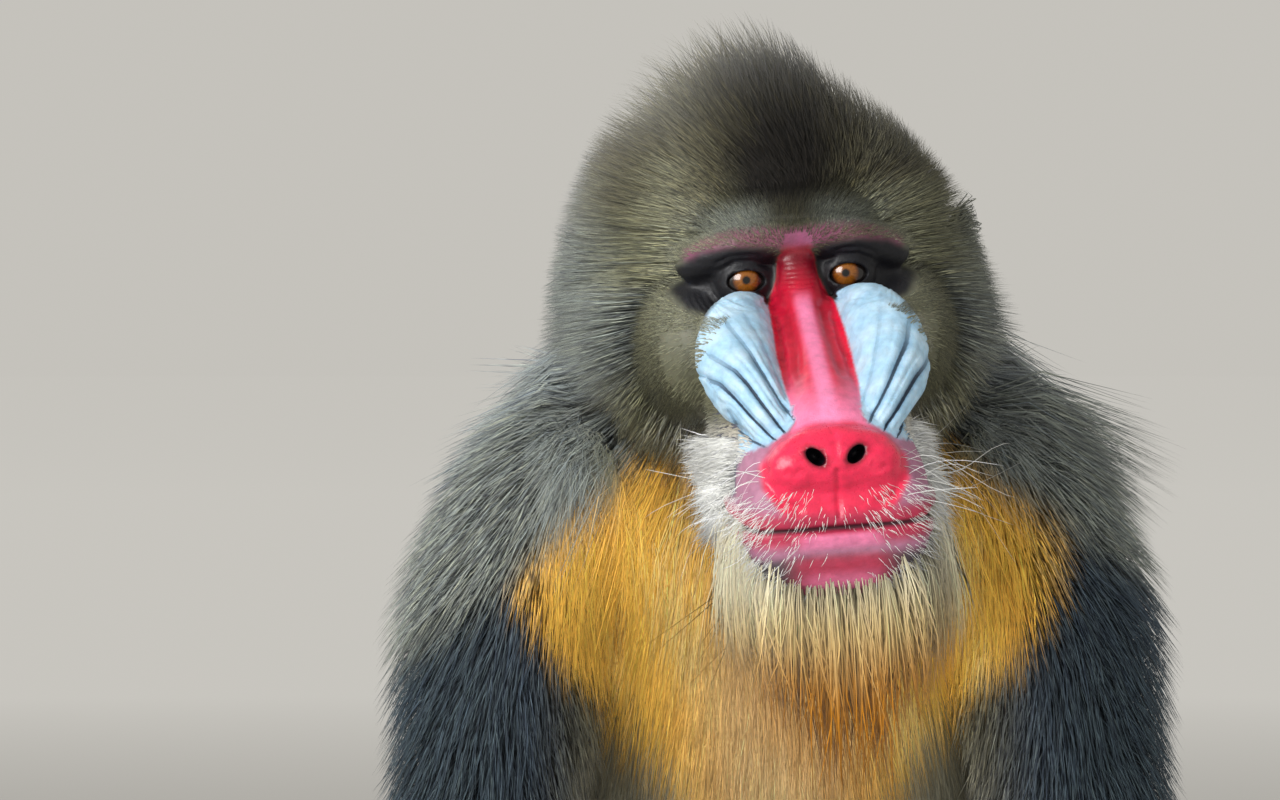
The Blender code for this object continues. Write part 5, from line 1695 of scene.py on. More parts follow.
class Coat:
    """Hair over the whole skin, region by region."""

    temple_bulk = 0.28      # extra depth of the hair over the temples, as a share
    ear_cover = 0.55        # depth of the hair over the ears, as a share
    crown_lean = 0.012      # how far the crest leans to the animal's right
    mantle_tilt = 0.16      # how much fuller the mantle is on the animal's left
    # Painted shade: the underfur under the guard hair is darkened by this share.
    under_shade = 0.88      # how bright the underfur is beside the guard hair
    floor_gap = 0.0012
    belly_top = 0.36        # height where the belly's hair passes into the chest's
    # A point and the direction of the plane between neck and head.
    neck_plane = ((0, -0.1362, 0.6013), (0, -0.652, 0.758))
    # Depth of the head's hair by the angle from straight ahead, in degrees, round the skull.
    head_depth = ((20, 34, 48, 66, 90, 120, 160),
                  (0.003, 0.008, 0.02, 0.034, 0.046, 0.05, 0.046))
    # Depth of the short hair of the face by the distance behind the eyes.
    face_depth = ((-0.02, 0.005, 0.03), (0.0025, 0.0035, 0.009))
    fall = {Region.CHEST: 0.9, Region.NECK: 0.85, Region.UPPER_ARMS: 0.35, Region.BACK: 0.3,
            Region.BELLY: 0.7, Region.FOREARMS: 0.15, Region.THIGHS: 0.15, Region.SHINS: 0.15}
    limbs = (Region.UPPER_ARMS, Region.FOREARMS, Region.THIGHS, Region.SHINS)
    head = (Region.CROWN, Region.CHEEKS, Region.FACE)

    def __init__(self, skin: Object) -> None:
        """Read the skin's triangles and sort them into regions.

        Args:
            skin: The finished skin.
        """
        self.rng = np.random.default_rng(17)
        mesh = skin.data
        mesh.calc_loop_triangles()
        places, normals = vertex_arrays(mesh)
        corners = np.empty(len(mesh.loop_triangles) * 3, np.int32)
        mesh.loop_triangles.foreach_get("vertices", corners)
        self.tri = places[corners.reshape(-1, 3)]
        self.tri_normals = normals[corners.reshape(-1, 3)]
        cross = np.cross(self.tri[:, 1] - self.tri[:, 0], self.tri[:, 2] - self.tri[:, 0])
        self.area = np.linalg.norm(cross, axis=1) / 2
        self.facing = self.tri_normals.mean(axis=1)
        # Hair is finer and denser towards the front, where the animal is looked at.
        self.dense = np.clip(1.15 - 0.75 * self.facing[:, 1], 0.45, 1.9)
        self.centre = self.tri.mean(axis=1)
        self.sort_regions()
        self.split_trunk()
        self.find_head()
        self.find_paws()

    def within(self, region: Region) -> Array:
        """Which triangles are in a region."""
        return self.region == REGIONS.index(region)

    def mark(self, where: Array, region: Region) -> None:
        """Put the triangles of a mask into a region."""
        self.region[where] = REGIONS.index(region)

    def sort_regions(self) -> None:
        """Find each triangle's nearest part, the way along it, and the coat's depth."""
        count = len(self.centre)
        best = np.full(count, 1e9)
        self.region = np.zeros(count, int)
        self.axis = np.zeros((count, 3))
        self.depth, self.along, self.around = np.zeros((3, count))
        parts = [(Region.BACK, BONES.trunk[::-1], 0), (Region.NECK, BONES.neck[::-1], 0),
                 (Region.TAIL, BONES.tail, 0)]
        limbs = zip(self.limbs, (BONES.upper_arm, BONES.forearm, BONES.thigh, BONES.shin))
        parts += [(region, sided(part, way), way) for region, part in limbs for way in (1, -1)]
        for region, sections, way in parts:
            rows = smooth_sections(sections, 6)
            middles = np.array([tuple(r[0]) for r in rows])
            wide = np.array([(r[1] + r[2]) / 2 for r in rows])
            coat = np.array([r[3] for r in rows])
            runs = unit(np.gradient(middles, axis=0))
            gaps = np.linalg.norm(self.centre[:, None] - middles[None], axis=2) / wide
            nearest = gaps.argmin(axis=1)
            value = gaps[np.arange(count), nearest]
            closer = value < best
            best = np.where(closer, value, best)
            self.mark(closer, region)
            self.axis[closer] = runs[nearest[closer]]
            self.depth[closer] = coat[nearest[closer]]
            self.along[closer] = nearest[closer] / len(rows)
            away = self.centre - middles[nearest]
            turn = np.arctan2(away[:, 0] * (way or 1), -away[:, 1]) / (2 * np.pi) + 0.5
            self.around[closer] = turn[closer]

    def split_trunk(self) -> None:
        """Part the trunk's coat into back, belly and chest, which takes the neck's front too."""
        x, y, z = self.centre.T
        out = self.facing
        front = self.within(Region.BACK) & (out[:, 1] < -0.15)
        self.mark(front & (z < self.belly_top), Region.BELLY)
        self.mark(front & (z >= self.belly_top), Region.CHEST)
        throat = (out[:, 2] < -0.05) | (out[:, 1] < -0.45) & (z < 0.56)
        self.mark(self.within(Region.NECK) & throat, Region.CHEST)
        armpit = (out[:, 1] < -0.3) & (np.abs(x) < 0.115) & (z > 0.44)
        self.mark(self.within(Region.UPPER_ARMS) & armpit, Region.CHEST)
        self.depth[self.within(Region.CHEST)] *= 0.9

    def find_head(self) -> None:
        """Mark the head's regions and how deep its coat is."""
        h = HEAD.own(self.centre)
        x, y, z = np.abs(h[:, 0]), h[:, 1], h[:, 2]
        point, normal = np.array(self.neck_plane)
        head = (self.centre - point) @ normal > -0.012
        head &= (self.centre[:, 1] < -0.1) & (x < 0.11)
        self.mark(head, Region.CHEEKS)
        self.mark(head & (z > 0.012 + 0.25 * x), Region.CROWN)
        near = head & (y < 0.03) & (z < 0.04)
        self.mark(near, Region.FACE)
        away = h - np.array(HEAD.cranium[0])
        angle = np.degrees(np.arccos(np.clip(-unit(away)[:, 1], -1, 1)))
        crest = ramp(x, 0.046, 0.01) * ramp(z, 0.03, 0.062)
        cheek = ramp(z, 0.0, -0.05)
        temple = ramp(x, 0.03, 0.055) * ramp(z, 0.015, 0.04)
        depth = np.interp(angle, *self.head_depth)
        depth = depth * (1 + 0.42 * crest * ramp(angle, 140, 100))
        depth = depth * (1 - 0.1 * cheek) * (1 + self.temple_bulk * temple)
        face = np.interp(y, *self.face_depth)
        depth = np.where(near, np.minimum(face, depth + 0.003), depth)
        self.depth[head] = depth[head]
        run = unit(away * np.array((1.0, 0.0, 1.0))) * 0.65
        run[:, 1] += 0.8
        run[:, 2] += 0.55 * crest - 0.45 * cheek
        self.axis[head] = unit(HEAD.turned(run))[head]
        turn = np.arctan2(away[:, 2], away[:, 0])
        self.along[head] = (0.5 + np.sin(turn) * angle / 360)[head]
        self.around[head] = (0.5 + np.cos(turn) * angle / 360)[head]
        (ex, ey, ez), (_, deep, tall) = HEAD.ear
        ear = (x > ex - 0.008) & (np.hypot((y - ey) / deep, (z - ez) / tall) < 1.5)
        self.depth[ear & head] *= self.ear_cover
        muzzle = head & (y < 0.01) & (z < -0.02)
        self.mark((MARKINGS.bare(self.centre) > 0.5) | muzzle, Region.BARE)

    def find_paws(self) -> None:
        """Mark the backs of the hands and feet, and leave palms and the seat bare."""
        x, y, z = self.centre.T
        paws = (z < 0.058) & (y < -0.17)
        self.mark(paws, Region.BARE)
        backs = paws & (self.facing[:, 2] > 0.25) & (y > -0.33) & (z > 0.01)
        self.mark(backs, Region.PAWS)
        self.axis[backs] = (0, -1, -0.1)
        self.depth[backs] = 0.0022
        seat = (z < 0.065) & (y > 0.07) & (self.facing[:, 2] < -0.25) & (np.abs(x) < 0.085)
        self.mark(seat | (z < 0.012) & (y > 0.02), Region.BARE)

    def grow(self, region: Region, count: int) -> Roots:
        """Draw roots in a region, spread evenly over its surface.

        Args:
            region: Where the tufts grow.
            count: How many there are.

        Returns:
            The roots.
        """
        mine = np.flatnonzero(self.within(region))
        total = np.cumsum(self.area[mine] * self.dense[mine])
        at = (np.arange(count) + self.rng.uniform(0, 1, count)) / count * total[-1]
        pick = mine[np.minimum(np.searchsorted(total, at), len(mine) - 1)]
        share = self.rng.uniform(0, 1, (count, 2))
        flip = share.sum(axis=1) > 1
        share[flip] = 1 - share[flip]
        weight = np.column_stack([1 - share.sum(axis=1), share])[:, :, None]
        places = (self.tri[pick] * weight).sum(axis=1)
        normals = unit((self.tri_normals[pick] * weight).sum(axis=1))
        if region in (Region.CROWN, Region.CHEEKS):
            own = HEAD.own(places) - np.array(HEAD.cranium[0])
            normals = unit(normals * 0.35 + HEAD.turned(unit(own)) * 0.65)
        patch = np.column_stack([self.around[pick], self.along[pick]])
        patch = 0.02 + 0.96 * np.clip(patch, 0, 1)
        patch += self.rng.uniform(-0.004, 0.004, patch.shape)
        return Roots(places, normals, self.axis[pick], self.depth[pick], patch,
                     self.dense[pick] ** -0.5)

    def lie(self, region: Region, style: CoatStyle, roots: Roots) -> Array:
        """The way that each tuft lies: along the part, falling, with soft partings.

        Args:
            region: Where the tufts grow.
            style: How the region's hair is laid.
            roots: Where each one starts.

        Returns:
            Unit directions along the skin.
        """
        way = roots.axis + np.array((0, 0, -self.fall.get(region, 0.0)))
        if region in self.limbs:
            way = way + np.array((0, 0.22, 0))
        if region not in self.head:
            # Where the part points out of the skin, the hair falls instead.
            steep = ramp(np.abs((unit(roots.axis) * roots.normals).sum(axis=1)), 0.55, 0.9)
            way = way + (np.array((0, 0.3, -1.0)) - way) * steep[:, None]
        way = way + ripple(roots.places, 0.045, 21) * 0.14
        way = way + self.rng.normal(0, style.spread, way.shape)
        flat = way - roots.normals * (way * roots.normals).sum(axis=1, keepdims=True)
        return unit(flat)

    def tuft_lines(self, region: Region, style: CoatStyle, roots: Roots, rings: tuple
                   ) -> Array:
        """Bend each tuft from its root over to its tip.

        Args:
            region: Where the tufts grow.
            style: How the region's hair is cut.
            roots: Where each one starts.
            rings: Places of the rings along a tuft.

        Returns:
            The ring middles and tip of each tuft.
        """
        lie = self.lie(region, style, roots)
        count = len(roots.places)
        depth = roots.depth[:, None]
        if region in (Region.NECK, Region.UPPER_ARMS):
            # The mantle lies fuller over the animal's left shoulder.
            x, _, z = roots.places.T
            fuller = self.mantle_tilt * np.clip(x / 0.09, -1, 1) * ramp(z, 0.5, 0.545)
            depth = depth * (1 + fuller[:, None])
        share = 1.0 if len(rings) > 1 else 0.82
        reach = depth * style.stretch * self.rng.uniform(0.8, 1.1, (count, 1)) * share
        low, high = style.stand
        stand = depth * self.rng.uniform(low, high, (count, 1)) * share
        if region is Region.CROWN:
            own = HEAD.own(roots.places)
            crest = ramp(own[:, 2], 0.055, 0.085)
            crest = (crest * ramp(np.abs(own[:, 0]), 0.055, 0.02))[:, None]
            ragged = 1 + (0.08 + 0.14 * crest) * ripple(roots.places, 0.012, 33)[:, :1]
            stand = stand * (1 + 0.62 * crest) * ragged
            reach = reach * (1 + 0.55 * crest) * ragged
        run = np.sqrt(np.maximum(reach ** 2 - stand ** 2, (0.35 * reach) ** 2))
        tip = roots.places + roots.normals * stand + lie * run
        tip[:, 2] -= (reach * style.sag)[:, 0]
        tip = self.clumped(tip, roots.places, style)
        if region is Region.CROWN:
            lean = self.crown_lean * ramp(HEAD.own(tip)[:, 2], 0.02, 0.1)
            tip += HEAD.turned(np.column_stack([-lean, lean * 0, lean * 0]))
        if region in (Region.CROWN, Region.CHEEKS):
            tip = self.trimmed(tip, roots.normals)
        start = roots.places - roots.normals * np.minimum(0.0015, depth * 0.25)
        sway = np.cross(lie, roots.normals) * self.rng.normal(0, 0.07, (count, 1)) * reach
        bend = roots.places + roots.normals * stand * 0.72 + lie * run * 0.3 + sway
        return np.stack([curve(start, bend, tip, t) for t in (*rings, 1.0)], axis=1)

    def trimmed(self, tips: Array, normals: Array) -> Array:
        """The tips drawn in, and on the sides of the head drawn out, to the hair's outline.

        Args:
            tips: The tufts' tips.
            normals: The skin's normals under them.

        Returns:
            The new tips.
        """
        own = HEAD.own(tips)
        heights, middles, limits = HEAD_OUTLINE.T
        middle = np.interp(own[:, 2], heights, middles)
        limit = np.interp(own[:, 2], heights, limits)
        across = own[:, 0] - middle
        side = np.abs(across)
        flank = ramp(np.abs(HEAD.own_turned(normals)[:, 0]), 0.5, 0.85)
        flank = flank * ramp(own[:, 2], -0.07, -0.03) * ramp(own[:, 1], 0.015, 0.045)
        wanted = limit * self.rng.uniform(0.8, 1.02, len(tips))
        side = side + np.clip(wanted - side, 0, 0.022) * flank
        start = limit * 0.86
        room = limit - start
        eased = start + room * (1 - np.exp(-np.maximum(side - start, 0) / room))
        own[:, 0] = middle + np.sign(across) * np.where(side > start, eased, side)
        return HEAD.placed(own)

    def clumped(self, tips: Array, places: Array, style: CoatStyle) -> Array:
        """The tips leaned towards the tip at the middle of their clump.

        Args:
            tips: The tufts' tips.
            places: Their roots.
            style: How the region's hair is laid.

        Returns:
            The new tips.
        """
        leaders = np.arange(0, len(tips), style.clump_size)
        self.rng.shuffle(leaders)
        tree = KDTree(len(leaders))
        for i in leaders:
            tree.insert(places[i], int(i))
        tree.balance()
        lead = np.array([tree.find(place)[1] for place in places])
        lean = style.clump * self.rng.uniform(0.4, 1.3, (len(tips), 1))
        return tips + (tips[lead] - tips) * np.clip(lean, 0, 0.9)

    def tuft_colours(self, line: Array, style: CoatStyle) -> Array:
        """Each tuft's colour at its rings and tip, darker at the root.

        Args:
            line: The ring middles and tip of each tuft.
            style: How the region's hair is laid.

        Returns:
            Linear colours, tufts by points by 3.
        """
        count, points, _ = line.shape
        middle = line[:, 0] * 0.5 + line[:, -1] * 0.5
        outer = line[:, 0, 0] * 0.15 + line[:, -1, 0] * 0.85
        middle[:, 0] = np.where(np.abs(outer) > np.abs(middle[:, 0]), outer, middle[:, 0])
        base = MARKINGS.coat(middle)
        base = base * self.rng.lognormal(0, style.vary, (count, 1))
        warm = self.rng.normal(0, 0.04, (count, 1)) * np.array((1.0, 0.4, -0.8))
        base = np.clip(base * (1 + warm), 0, 1)
        out = np.empty((count, points, 3))
        # Painted shade: each tuft darkens from a little over its colour at the tip down to its
        # root.
        for i, t in enumerate(np.linspace(0, 1, points)):
            out[:, i] = base * (style.root_shade + (1.12 - style.root_shade) * min(1.0, t * 1.6))
        return np.clip(out, 0, 1)

    def build(self, finishes: dict) -> list:
        """Grow every region's coat.

        Args:
            finishes: Materials by name.

        Returns:
            The pieces of the coat, each with its slot.
        """
        made = []
        for index, (region, style) in enumerate(STYLES.items()):
            for layer, (count, rings) in enumerate(((style.over, BENT), (style.under, STRAIGHT))):
                count = count
                if count == 0:
                    continue
                name = f"coat_{region.value}_{('over', 'under')[layer]}"
                roots = self.grow(region, count)
                line = self.tuft_lines(region, style, roots, rings)
                line[..., 2] = np.maximum(line[..., 2], self.floor_gap)
                colours = self.tuft_colours(line, style)
                if layer:
                    colours *= self.under_shade
                width = style.width * roots.wide * self.rng.uniform(0.75, 1.3, count)
                parts = math.ceil(count * (6 * len(rings) - 2) / MOST_TRIANGLES)
                for part in range(parts):
                    take = slice(part, None, parts)
                    title = name + (f"_{part + 1}" if parts > 1 else "")
                    obj = Tufts(title).build(line[take], roots.normals[take], width[take], rings,
                                             colours[take], roots.patch[take],
                                             index * 20 + layer * 10 + part)
                    obj.data.materials.append(finishes[style.finish])
                    # Light passes through the long pale hair of the bib.
                    obj.visible_shadow = region is not Region.CHEST
                    made.append((obj, style.slot))
        return made


@dataclass(frozen=True)
class Strand:
    """How one set of hairs on the muzzle is cut and bent."""

    count: int
    lift: float             # how steeply the hairs leave the skin, from 0 to 1
    width: float            # of one hair, in metres
    rings: tuple
    curl: float = 0.0       # how far a hair wanders to the side, as a share of its length
    sag: float = 0.0        # how far its tip falls, as a share of its length
    pressed: float = 0.7    # how far its lie is pressed to the skin


class Beard:
    """The beard, the white fringe beside the mouth, the bristles of the lips and whiskers."""

    point = -0.248          # height of the beard's point over the eyes
    strands = {
        "beard": Strand(7400, 0.05, 0.00072, LONG, 0.05, 0.0, 0.15),
        "fringe": Strand(8200, 0.34, 0.00072, BENT, 0.07, 0.1),
        "muzzle_hair": Strand(2800, 0.22, 0.0006, BENT),
        "bristles": Strand(1500, 0.3, 0.00026, LONG, 0.1, 0.22),
        "whiskers": Strand(46, 0.15, 0.00036, WHISKER, 0.16, 0.1),
    }

    def __init__(self, skin: Object) -> None:
        """Read where the muzzle's skin lies.

        Args:
            skin: The finished skin.
        """
        self.rng = np.random.default_rng(29)
        places, normals = vertex_arrays(skin.data)
        own = HEAD.own(places)
        near = (own[:, 1] < 0.05) & (own[:, 2] < -0.015) & (np.abs(own[:, 0]) < 0.07)
        near &= own[:, 2] > -0.17
        self.own, self.normals = own[near], normals[near]
        self.own_normals = HEAD.own_turned(self.normals)
        self.away = np.abs(self.own[:, 0])

    def pick(self, name: str, mask: Array) -> Array:
        """Draw the vertices that a piece's hairs grow from, where the mask holds.

        Args:
            name: The piece's name.
            mask: One truth for each vertex.

        Returns:
            The vertices' numbers.
        """
        count = self.strands[name].count
        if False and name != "whiskers":
            count //= QUICK_SHARE
        return self.rng.choice(np.flatnonzero(mask), count)

    def grow(self, name: str, chosen: Array, lie: Array, length: Array,
             colours: Callable) -> Object:
        """Make one set of hairs.

        Args:
            name: The piece's name.
            chosen: The vertices that the hairs grow from.
            lie: The way that each lies, in the head's frame.
            length: Each hair's length.
            colours: A function from places to linear colours.

        Returns:
            The object.
        """
        style = self.strands[name]
        count = len(chosen)
        root = self.own[chosen] + self.rng.normal(0, 0.0007, (count, 3))
        normal = unit(self.own_normals[chosen])
        lie = unit(lie)
        lie = lie - normal * (lie * normal).sum(axis=1, keepdims=True) * style.pressed
        lie = unit(lie + self.rng.normal(0, 0.1 * style.pressed + 0.02, lie.shape))
        length = length[:, None]
        tip = root + (lie * (1 - style.lift) + normal * style.lift) * length
        tip[:, 2] -= (length * style.sag)[:, 0]
        bend = root + (lie * 0.35 + normal * (0.35 + style.lift * 0.5)) * length * 0.5
        start = root - normal * 0.0012
        sway = unit(np.cross(lie, normal)) * self.rng.normal(0, 1, (count, 1))
        phase = self.rng.uniform(0, 6.28, (count, 1))
        rows = []
        for t in (*style.rings, 1.0):
            wave = np.sin(phase + t * 4.2) - np.sin(phase)
            rows.append(curve(start, bend, tip, t) + sway * wave * length * style.curl * t)
        line = HEAD.placed(np.stack(rows, axis=1))
        tint = np.stack([colours(line[:, i]) for i in range(line.shape[1])], axis=1)
        tint = np.clip(tint * self.rng.lognormal(0, 0.1, (count, 1, 1)), 0, 1)
        turn = np.arctan2(root[:, 0], -root[:, 2] - 0.08) / (2 * np.pi) + 0.5
        patch = np.column_stack([turn, np.clip(0.5 + root[:, 1] * 2.5, 0.02, 0.98)])
        widths = style.width * self.rng.uniform(0.75, 1.25, count)
        return Tufts(name).build(line, self.normals[chosen], widths, style.rings, tint, patch,
                                 count)

    def beard(self) -> Object:
        """The beard hangs from the chin and jaw and narrows to one point."""
        _, y, z = self.own.T
        down = self.own_normals[:, 2]
        mask = (z < -0.12) & (y > -0.122) & (y < 0.012) & (down < 0.35)
        thin = (z < -0.125) & (np.arange(len(z)) % 4 == 0)
        mask &= (z < -0.134) | thin | (self.away > 0.03) & (y > -0.095)
        mask |= (down < -0.3) & (z < -0.085) & (y > -0.11) & (y < 0.02)
        chosen = self.pick("beard", mask)
        root = self.own[chosen]
        goal = root * (1.15, 0.85, 0)
        goal[:, 0] += self.rng.normal(0, 0.003, len(chosen))
        goal[:, 1] += -0.018 + self.rng.normal(0, 0.006, len(chosen))
        goal[:, 2] = self.point + 1.3 * np.abs(goal[:, 0])
        goal[:, 2] += 0.8 * np.maximum(root[:, 1] + 0.1, 0)
        goal[:, 2] = np.minimum(goal[:, 2], root[:, 2] - 0.015)
        goal += ripple(root, 0.009, 41) * 0.009
        full = np.linalg.norm(goal - root, axis=1)
        length = full * self.rng.uniform(0.32, 1.05, len(chosen)) ** 0.8
        return self.grow("beard", chosen, goal - root, length, MARKINGS.beard)

    def fringe(self) -> Object:
        """White hair sweeps outwards and back beside the mouth."""
        _, y, z = self.own.T
        mask = (self.away > 0.036) & (z < -0.072) & (z > -0.14) & (y < 0.03)
        mask &= y > -0.078 + 0.022 * ramp(np.abs(z + 0.112), 0.022, 0.0)
        chosen = self.pick("fringe", mask)
        side, low = np.sign(self.own[chosen, 0]), ramp(z[chosen], -0.085, -0.135)
        lie = np.column_stack([side * 0.85, np.full(len(chosen), 0.65), -0.05 - 0.75 * low])
        length = (0.021 + 0.012 * low) * self.rng.uniform(0.5, 1.15, len(chosen))
        return self.grow("fringe", chosen, lie, length, MARKINGS.fringe)

    def muzzle_hair(self) -> Object:
        """Short grey hair on the sides of the muzzle under the ribs."""
        _, y, z = self.own.T
        mask = (self.away > 0.034) & (z > -0.084) & (z < -0.02) & (y > -0.098) & (y < 0.012)
        ribbed = inside(front_view(self.own), SWELLING, 0.002) >= 0.4
        mask &= ~ribbed | (swelling_near(self.own) > 1.16)
        chosen = self.pick("muzzle_hair", mask)
        lie = np.sign(self.own[chosen, :1]) * (0.3, 0, 0) + (0, 1.0, -0.3)
        length = self.rng.uniform(0.006, 0.011, len(chosen))
        return self.grow("muzzle_hair", chosen, lie, length, MARKINGS.coat)

    def bristles(self) -> Object:
        """Fine bristles over and under the lips, longer towards the cheeks."""
        _, y, z = self.own.T
        mask = (y < -0.07) & (z < -0.094) & (z > -0.146) & (self.own_normals[:, 1] < 0.3)
        mask &= (np.abs(z + 0.1185) > 0.0035) | (self.away > 0.018)
        mask &= (self.away > 0.012) | (np.arange(len(z)) % 4 == 0)
        chosen = self.pick("bristles", mask)
        lie = self.own[chosen, :1] * (34, 0, 0) + (0, -0.05, -0.62)
        length = self.rng.uniform(0.004, 0.011, len(chosen)) * (0.6 + 14 * self.away[chosen])
        return self.grow("bristles", chosen, lie, length, MARKINGS.fringe)

    def whiskers(self) -> Object:
        """Long curling whiskers from the sides of the nose."""
        _, y, z = self.own.T
        mask = (self.away > 0.03) & (y < -0.075) & (z > -0.104) & (z < -0.078)
        chosen = self.pick("whiskers", mask)
        lie = np.column_stack([np.sign(self.own[chosen, 0]),
                               self.rng.uniform(-0.2, 0.5, len(chosen)),
                               self.rng.uniform(-0.6, 0.45, len(chosen))])
        length = self.rng.uniform(0.03, 0.056, len(chosen))
        return self.grow("whiskers", chosen, lie, length, MARKINGS.fringe)

    def build(self, material: Material) -> list:
        """Grow every set of hairs, which cast no shadow on the skin under them.

        Args:
            material: Their finish.

        Returns:
            The pieces.
        """
        made = [self.beard(), self.fringe(), self.muzzle_hair(), self.bristles(),
                self.whiskers()]
        for obj in made:
            obj.data.materials.append(material)
            obj.visible_shadow = False
        return made


# The eyes and nails


class Eye:
    """One eyeball, turned to look at the camera."""

    cornea = 0.0066     # radius of the clear front
    bulge = 0.0009      # how far it stands out
    glance = {1: -0.115, -1: 0.0}   # how far each eye looks aside

    def __init__(self, way: int) -> None:
        """Take the side: 1 left, -1 right."""
        self.way = way

    def build(self, material: Material) -> Object:
        """Make the ball with the slight bulge of its cornea.

        Args:
            material: The eye's finish.

        Returns:
            The eyeball.
        """
        bm = bmesh.new()
        bmesh.ops.create_uvsphere(bm, u_segments=64, v_segments=48, radius=HEAD.eye_radius)
        for vert in bm.verts:
            r = math.hypot(vert.co.x, vert.co.y)
            if vert.co.z > 0 and r < self.cornea:
                vert.co.z += self.bulge * (1 - (r / self.cornea) ** 2)
        gaze = np.array([tuple(v.co) for v in bm.verts])
        obj = from_bmesh("eyeball_l" if self.way > 0 else "eyeball_r", bm)
        store(obj.data, "gaze", gaze)
        aim = Vector((self.glance[self.way], -1, 0.02)).normalized()
        turn = aim.to_track_quat("Z", "Y").to_matrix().to_4x4()
        place = Matrix.Translation(Vector((self.way * HEAD.eye_x, HEAD.eye_depth, 0)))
        moved(obj, HEAD.matrix() @ place @ turn)
        obj.data.shade_smooth()
        obj.data.materials.append(material)
        return obj


class Nails:
    """A curved plate of horn on the tip of each finger and toe."""

    floor_gap = 0.0006

    def build(self, nails: list, material: Material) -> Object:
        """Make all the nails as one piece.

        Args:
            nails: Each nail's place, direction and size.
            material: Their finish.

        Returns:
            The nails.
        """
        bm = bmesh.new()
        for place, aim, radius in nails:
            across = aim.cross(Vector((0, 0, 1))).normalized()
            rings = []
            for t, wide in ((-0.9, 0.5), (-0.4, 0.6), (0.2, 0.58), (0.7, 0.42), (0.95, 0.2)):
                ring = []
                for high in (0.0012, 0.0004):
                    for k in range(7):
                        a = (k / 6 - 0.5) * 2
                        if high < 0.001:
                            a = -a
                        spot = place + aim * radius * (t + 0.35) + across * a * wide * radius
                        drop = (a * a * 0.22 + max(0.0, t) * 0.3) * radius
                        ring.append(bm.verts.new(spot + Vector((0, 0, high - drop))))
                rings.append(ring)
            close(bm, rings)
        obj = from_bmesh("nails", bm)
        for vert in obj.data.vertices:
            vert.co.z = max(vert.co.z, self.floor_gap)
        obj.data.shade_smooth()
        obj.data.materials.append(material)
        return obj


# The studio


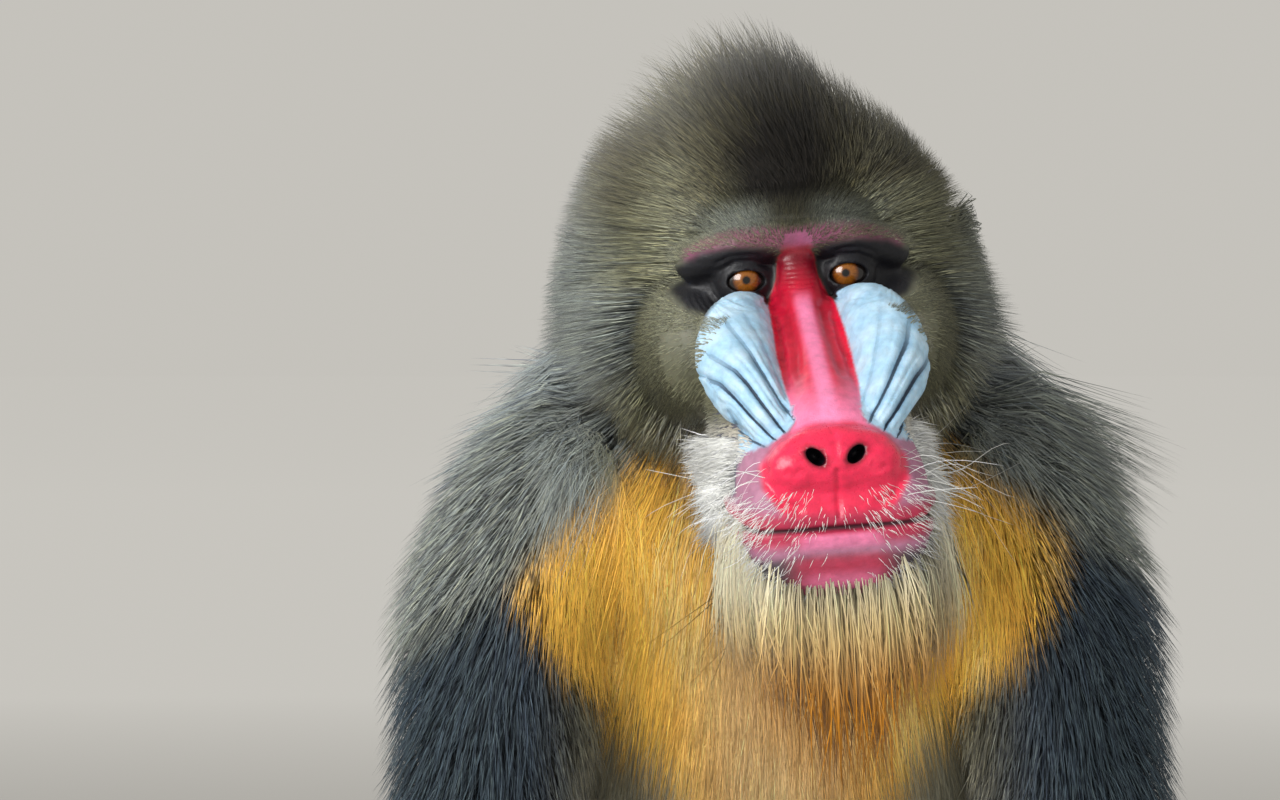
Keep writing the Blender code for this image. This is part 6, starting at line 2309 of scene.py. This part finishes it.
@dataclass(frozen=True)
class Studio:
    """Floor, soft light and the photograph's view."""

    azimuth: float = -2.0
    elevation: float = 1.0
    distance: float = 3.4
    millimetre: float = 2.15    # pixels of the photograph to one millimetre at the eyes
    eye_pixel: tuple = (797.0, 277.0)
    frame_size: tuple = (1280, 800)
    floor_radius: float = 40.0
    sky: tuple = ("#D6D4CE", 0.62)
    # Each lamp's place, side in metres and watts. The fill stays out of the eyes.
    key: tuple = ((-2.0, -2.0, 1.6), 1.6, 88.0)
    fill: tuple = ((0.9, -2.9, 0.5), 1.8, 26.0)
    rim: tuple = ((-0.9, 1.8, 1.9), 1.2, 30.0)

    def build(self) -> None:
        """Set the stage."""
        floor = self.sweep()
        floor.data.materials.append(FloorFinish().make())
        bpy.context.scene.view_settings.view_transform = "Standard"
        world = bpy.data.worlds.new("studio")
        bpy.context.scene.world = world
        world.use_nodes = True
        back = world.node_tree.nodes["Background"]
        back.inputs["Color"].default_value = colour(self.sky[0])
        back.inputs["Strength"].default_value = self.sky[1]
        self.light("key", *self.key)
        self.light("fill", *self.fill).visible_glossy = False
        self.light("rim", *self.rim)
        self.camera()

    def sweep(self) -> Object:
        """A wide round floor under a pale dome, so that no horizon shows."""
        bm = bmesh.new()
        sides = 96
        rings = []
        far = self.floor_radius
        profile = [(far * t ** 3, 0.0) for t in (0.1, 0.2, 0.3, 0.4, 0.55, 0.75, 1.0)]
        for k in range(1, 16):
            a = math.pi / 2 * k / 16
            profile.append((far * math.cos(a), far * math.sin(a)))
        for radius, height in profile:
            turns = (2 * math.pi * k / sides for k in range(sides))
            rings.append([bm.verts.new((radius * math.cos(a), radius * math.sin(a), height))
                          for a in turns])
        for first, second in zip(rings, rings[1:]):
            bridge(bm, second, first)
        bm.faces.new(rings[0])
        bm.faces.new(reversed(rings[-1]))
        mesh = bpy.data.meshes.new("floor")
        bm.to_mesh(mesh)
        bm.free()
        mesh.shade_smooth()
        floor = link("floor", mesh)
        floor.visible_shadow = False
        floor.visible_diffuse = False
        floor.visible_glossy = False
        return floor

    @staticmethod
    def light(name: str, place: tuple, size: float, power: float) -> Object:
        """Add one soft square lamp that shines at the animal's chest.

        Args:
            name: The lamp's name.
            place: Where it stands.
            size: Its side in metres.
            power: Its power in watts.

        Returns:
            The lamp.
        """
        data = bpy.data.lights.new(name, "AREA")
        data.size = size
        data.energy = power
        obj = link(name, data)
        obj.location = place
        aim = Vector((0, -0.15, 0.5)) - Vector(place)
        obj.rotation_euler = aim.to_track_quat("-Z", "Y").to_euler()
        return obj

    def camera(self) -> None:
        """Aim a long lens so that the eyes land where the photograph has them."""
        a, e = math.radians(self.azimuth), math.radians(self.elevation)
        back = Vector((math.sin(a) * math.cos(e), -math.cos(a) * math.cos(e), math.sin(e)))
        data = bpy.data.cameras.new("camera")
        obj = link("camera", data)
        bpy.context.scene.camera = obj
        wide, tall = self.frame_size
        seen = wide / self.millimetre / 1000
        data.sensor_width = 36.0
        data.lens = data.sensor_width * self.distance / seen
        turn = back.to_track_quat("Z", "Y").to_matrix()
        right, up = turn @ Vector((1, 0, 0)), turn @ Vector((0, 1, 0))
        off_x = (self.eye_pixel[0] - wide / 2) / self.millimetre / 1000
        off_y = (tall / 2 - self.eye_pixel[1]) / self.millimetre / 1000
        aim = Vector(HEAD.place) - right * off_x - up * off_y
        obj.location = aim + back * self.distance
        obj.rotation_euler = turn.to_euler()
        data.clip_end = 120


@dataclass
class Mandrill:
    """The whole animal."""

    flesh: tuple = ("head", "muzzle", "nose", "swelling_l", "swelling_r", "jaw", "ear_l",
                    "ear_r", "neck", "chest", "belly", "rump", "tail")
    sides: tuple = ("upper_arm", "forearm", "hand", "thigh", "shin", "foot")
    pieces: list = field(default_factory=list)

    def add(self, obj: Object, slot: str, *nodes: str) -> None:
        """Fix a piece to the animal.

        Args:
            obj: The piece.
            slot: The name of its finish; not used.
            nodes: The solids that it stands for.
        """
        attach(obj, "root")
        if nodes:
            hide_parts(*nodes)
        self.pieces.append(obj)
        log.info("%s: %d faces", obj.name, len(obj.data.polygons))

    def build(self) -> None:
        """Make the skin, then the eyes and nails, then the coat."""
        skin = Skin()
        skin.build()
        skin.dress(SkinFinish().make())
        limbs = [f"{part}_{side}" for part in self.sides for side in ("l", "r")]
        self.add(skin.obj, "skin_dark", *self.flesh, *limbs)
        eye = EyeFinish().make()
        for way, side in ((1, "l"), (-1, "r")):
            self.add(Eye(way).build(eye), "eye", f"eye_{side}")
        self.add(Nails().build(skin.nails, NailFinish().make()), "skin_dark")
        finishes = {"agouti_hair": HairFinish("agouti_hair", bands=0.62).make(),
                    "soft_hair": HairFinish("soft_hair", bands=0.18).make()}
        for obj, slot in Coat(skin.obj).build(finishes):
            self.add(obj, slot)
        fine = HairFinish("fine_hair", roughness=0.5, specular=0.3, streaks=3.0).make()
        for obj in Beard(skin.obj).build(fine):
            self.add(obj, "coat_cream")


def main() -> None:
    """Build the animal and its studio, and write how large it came out."""
    logging.basicConfig(level=logging.INFO, format="%(name)s %(message)s")
    Studio().build()
    Mandrill().build()


if __name__ == "__main__":
    main()
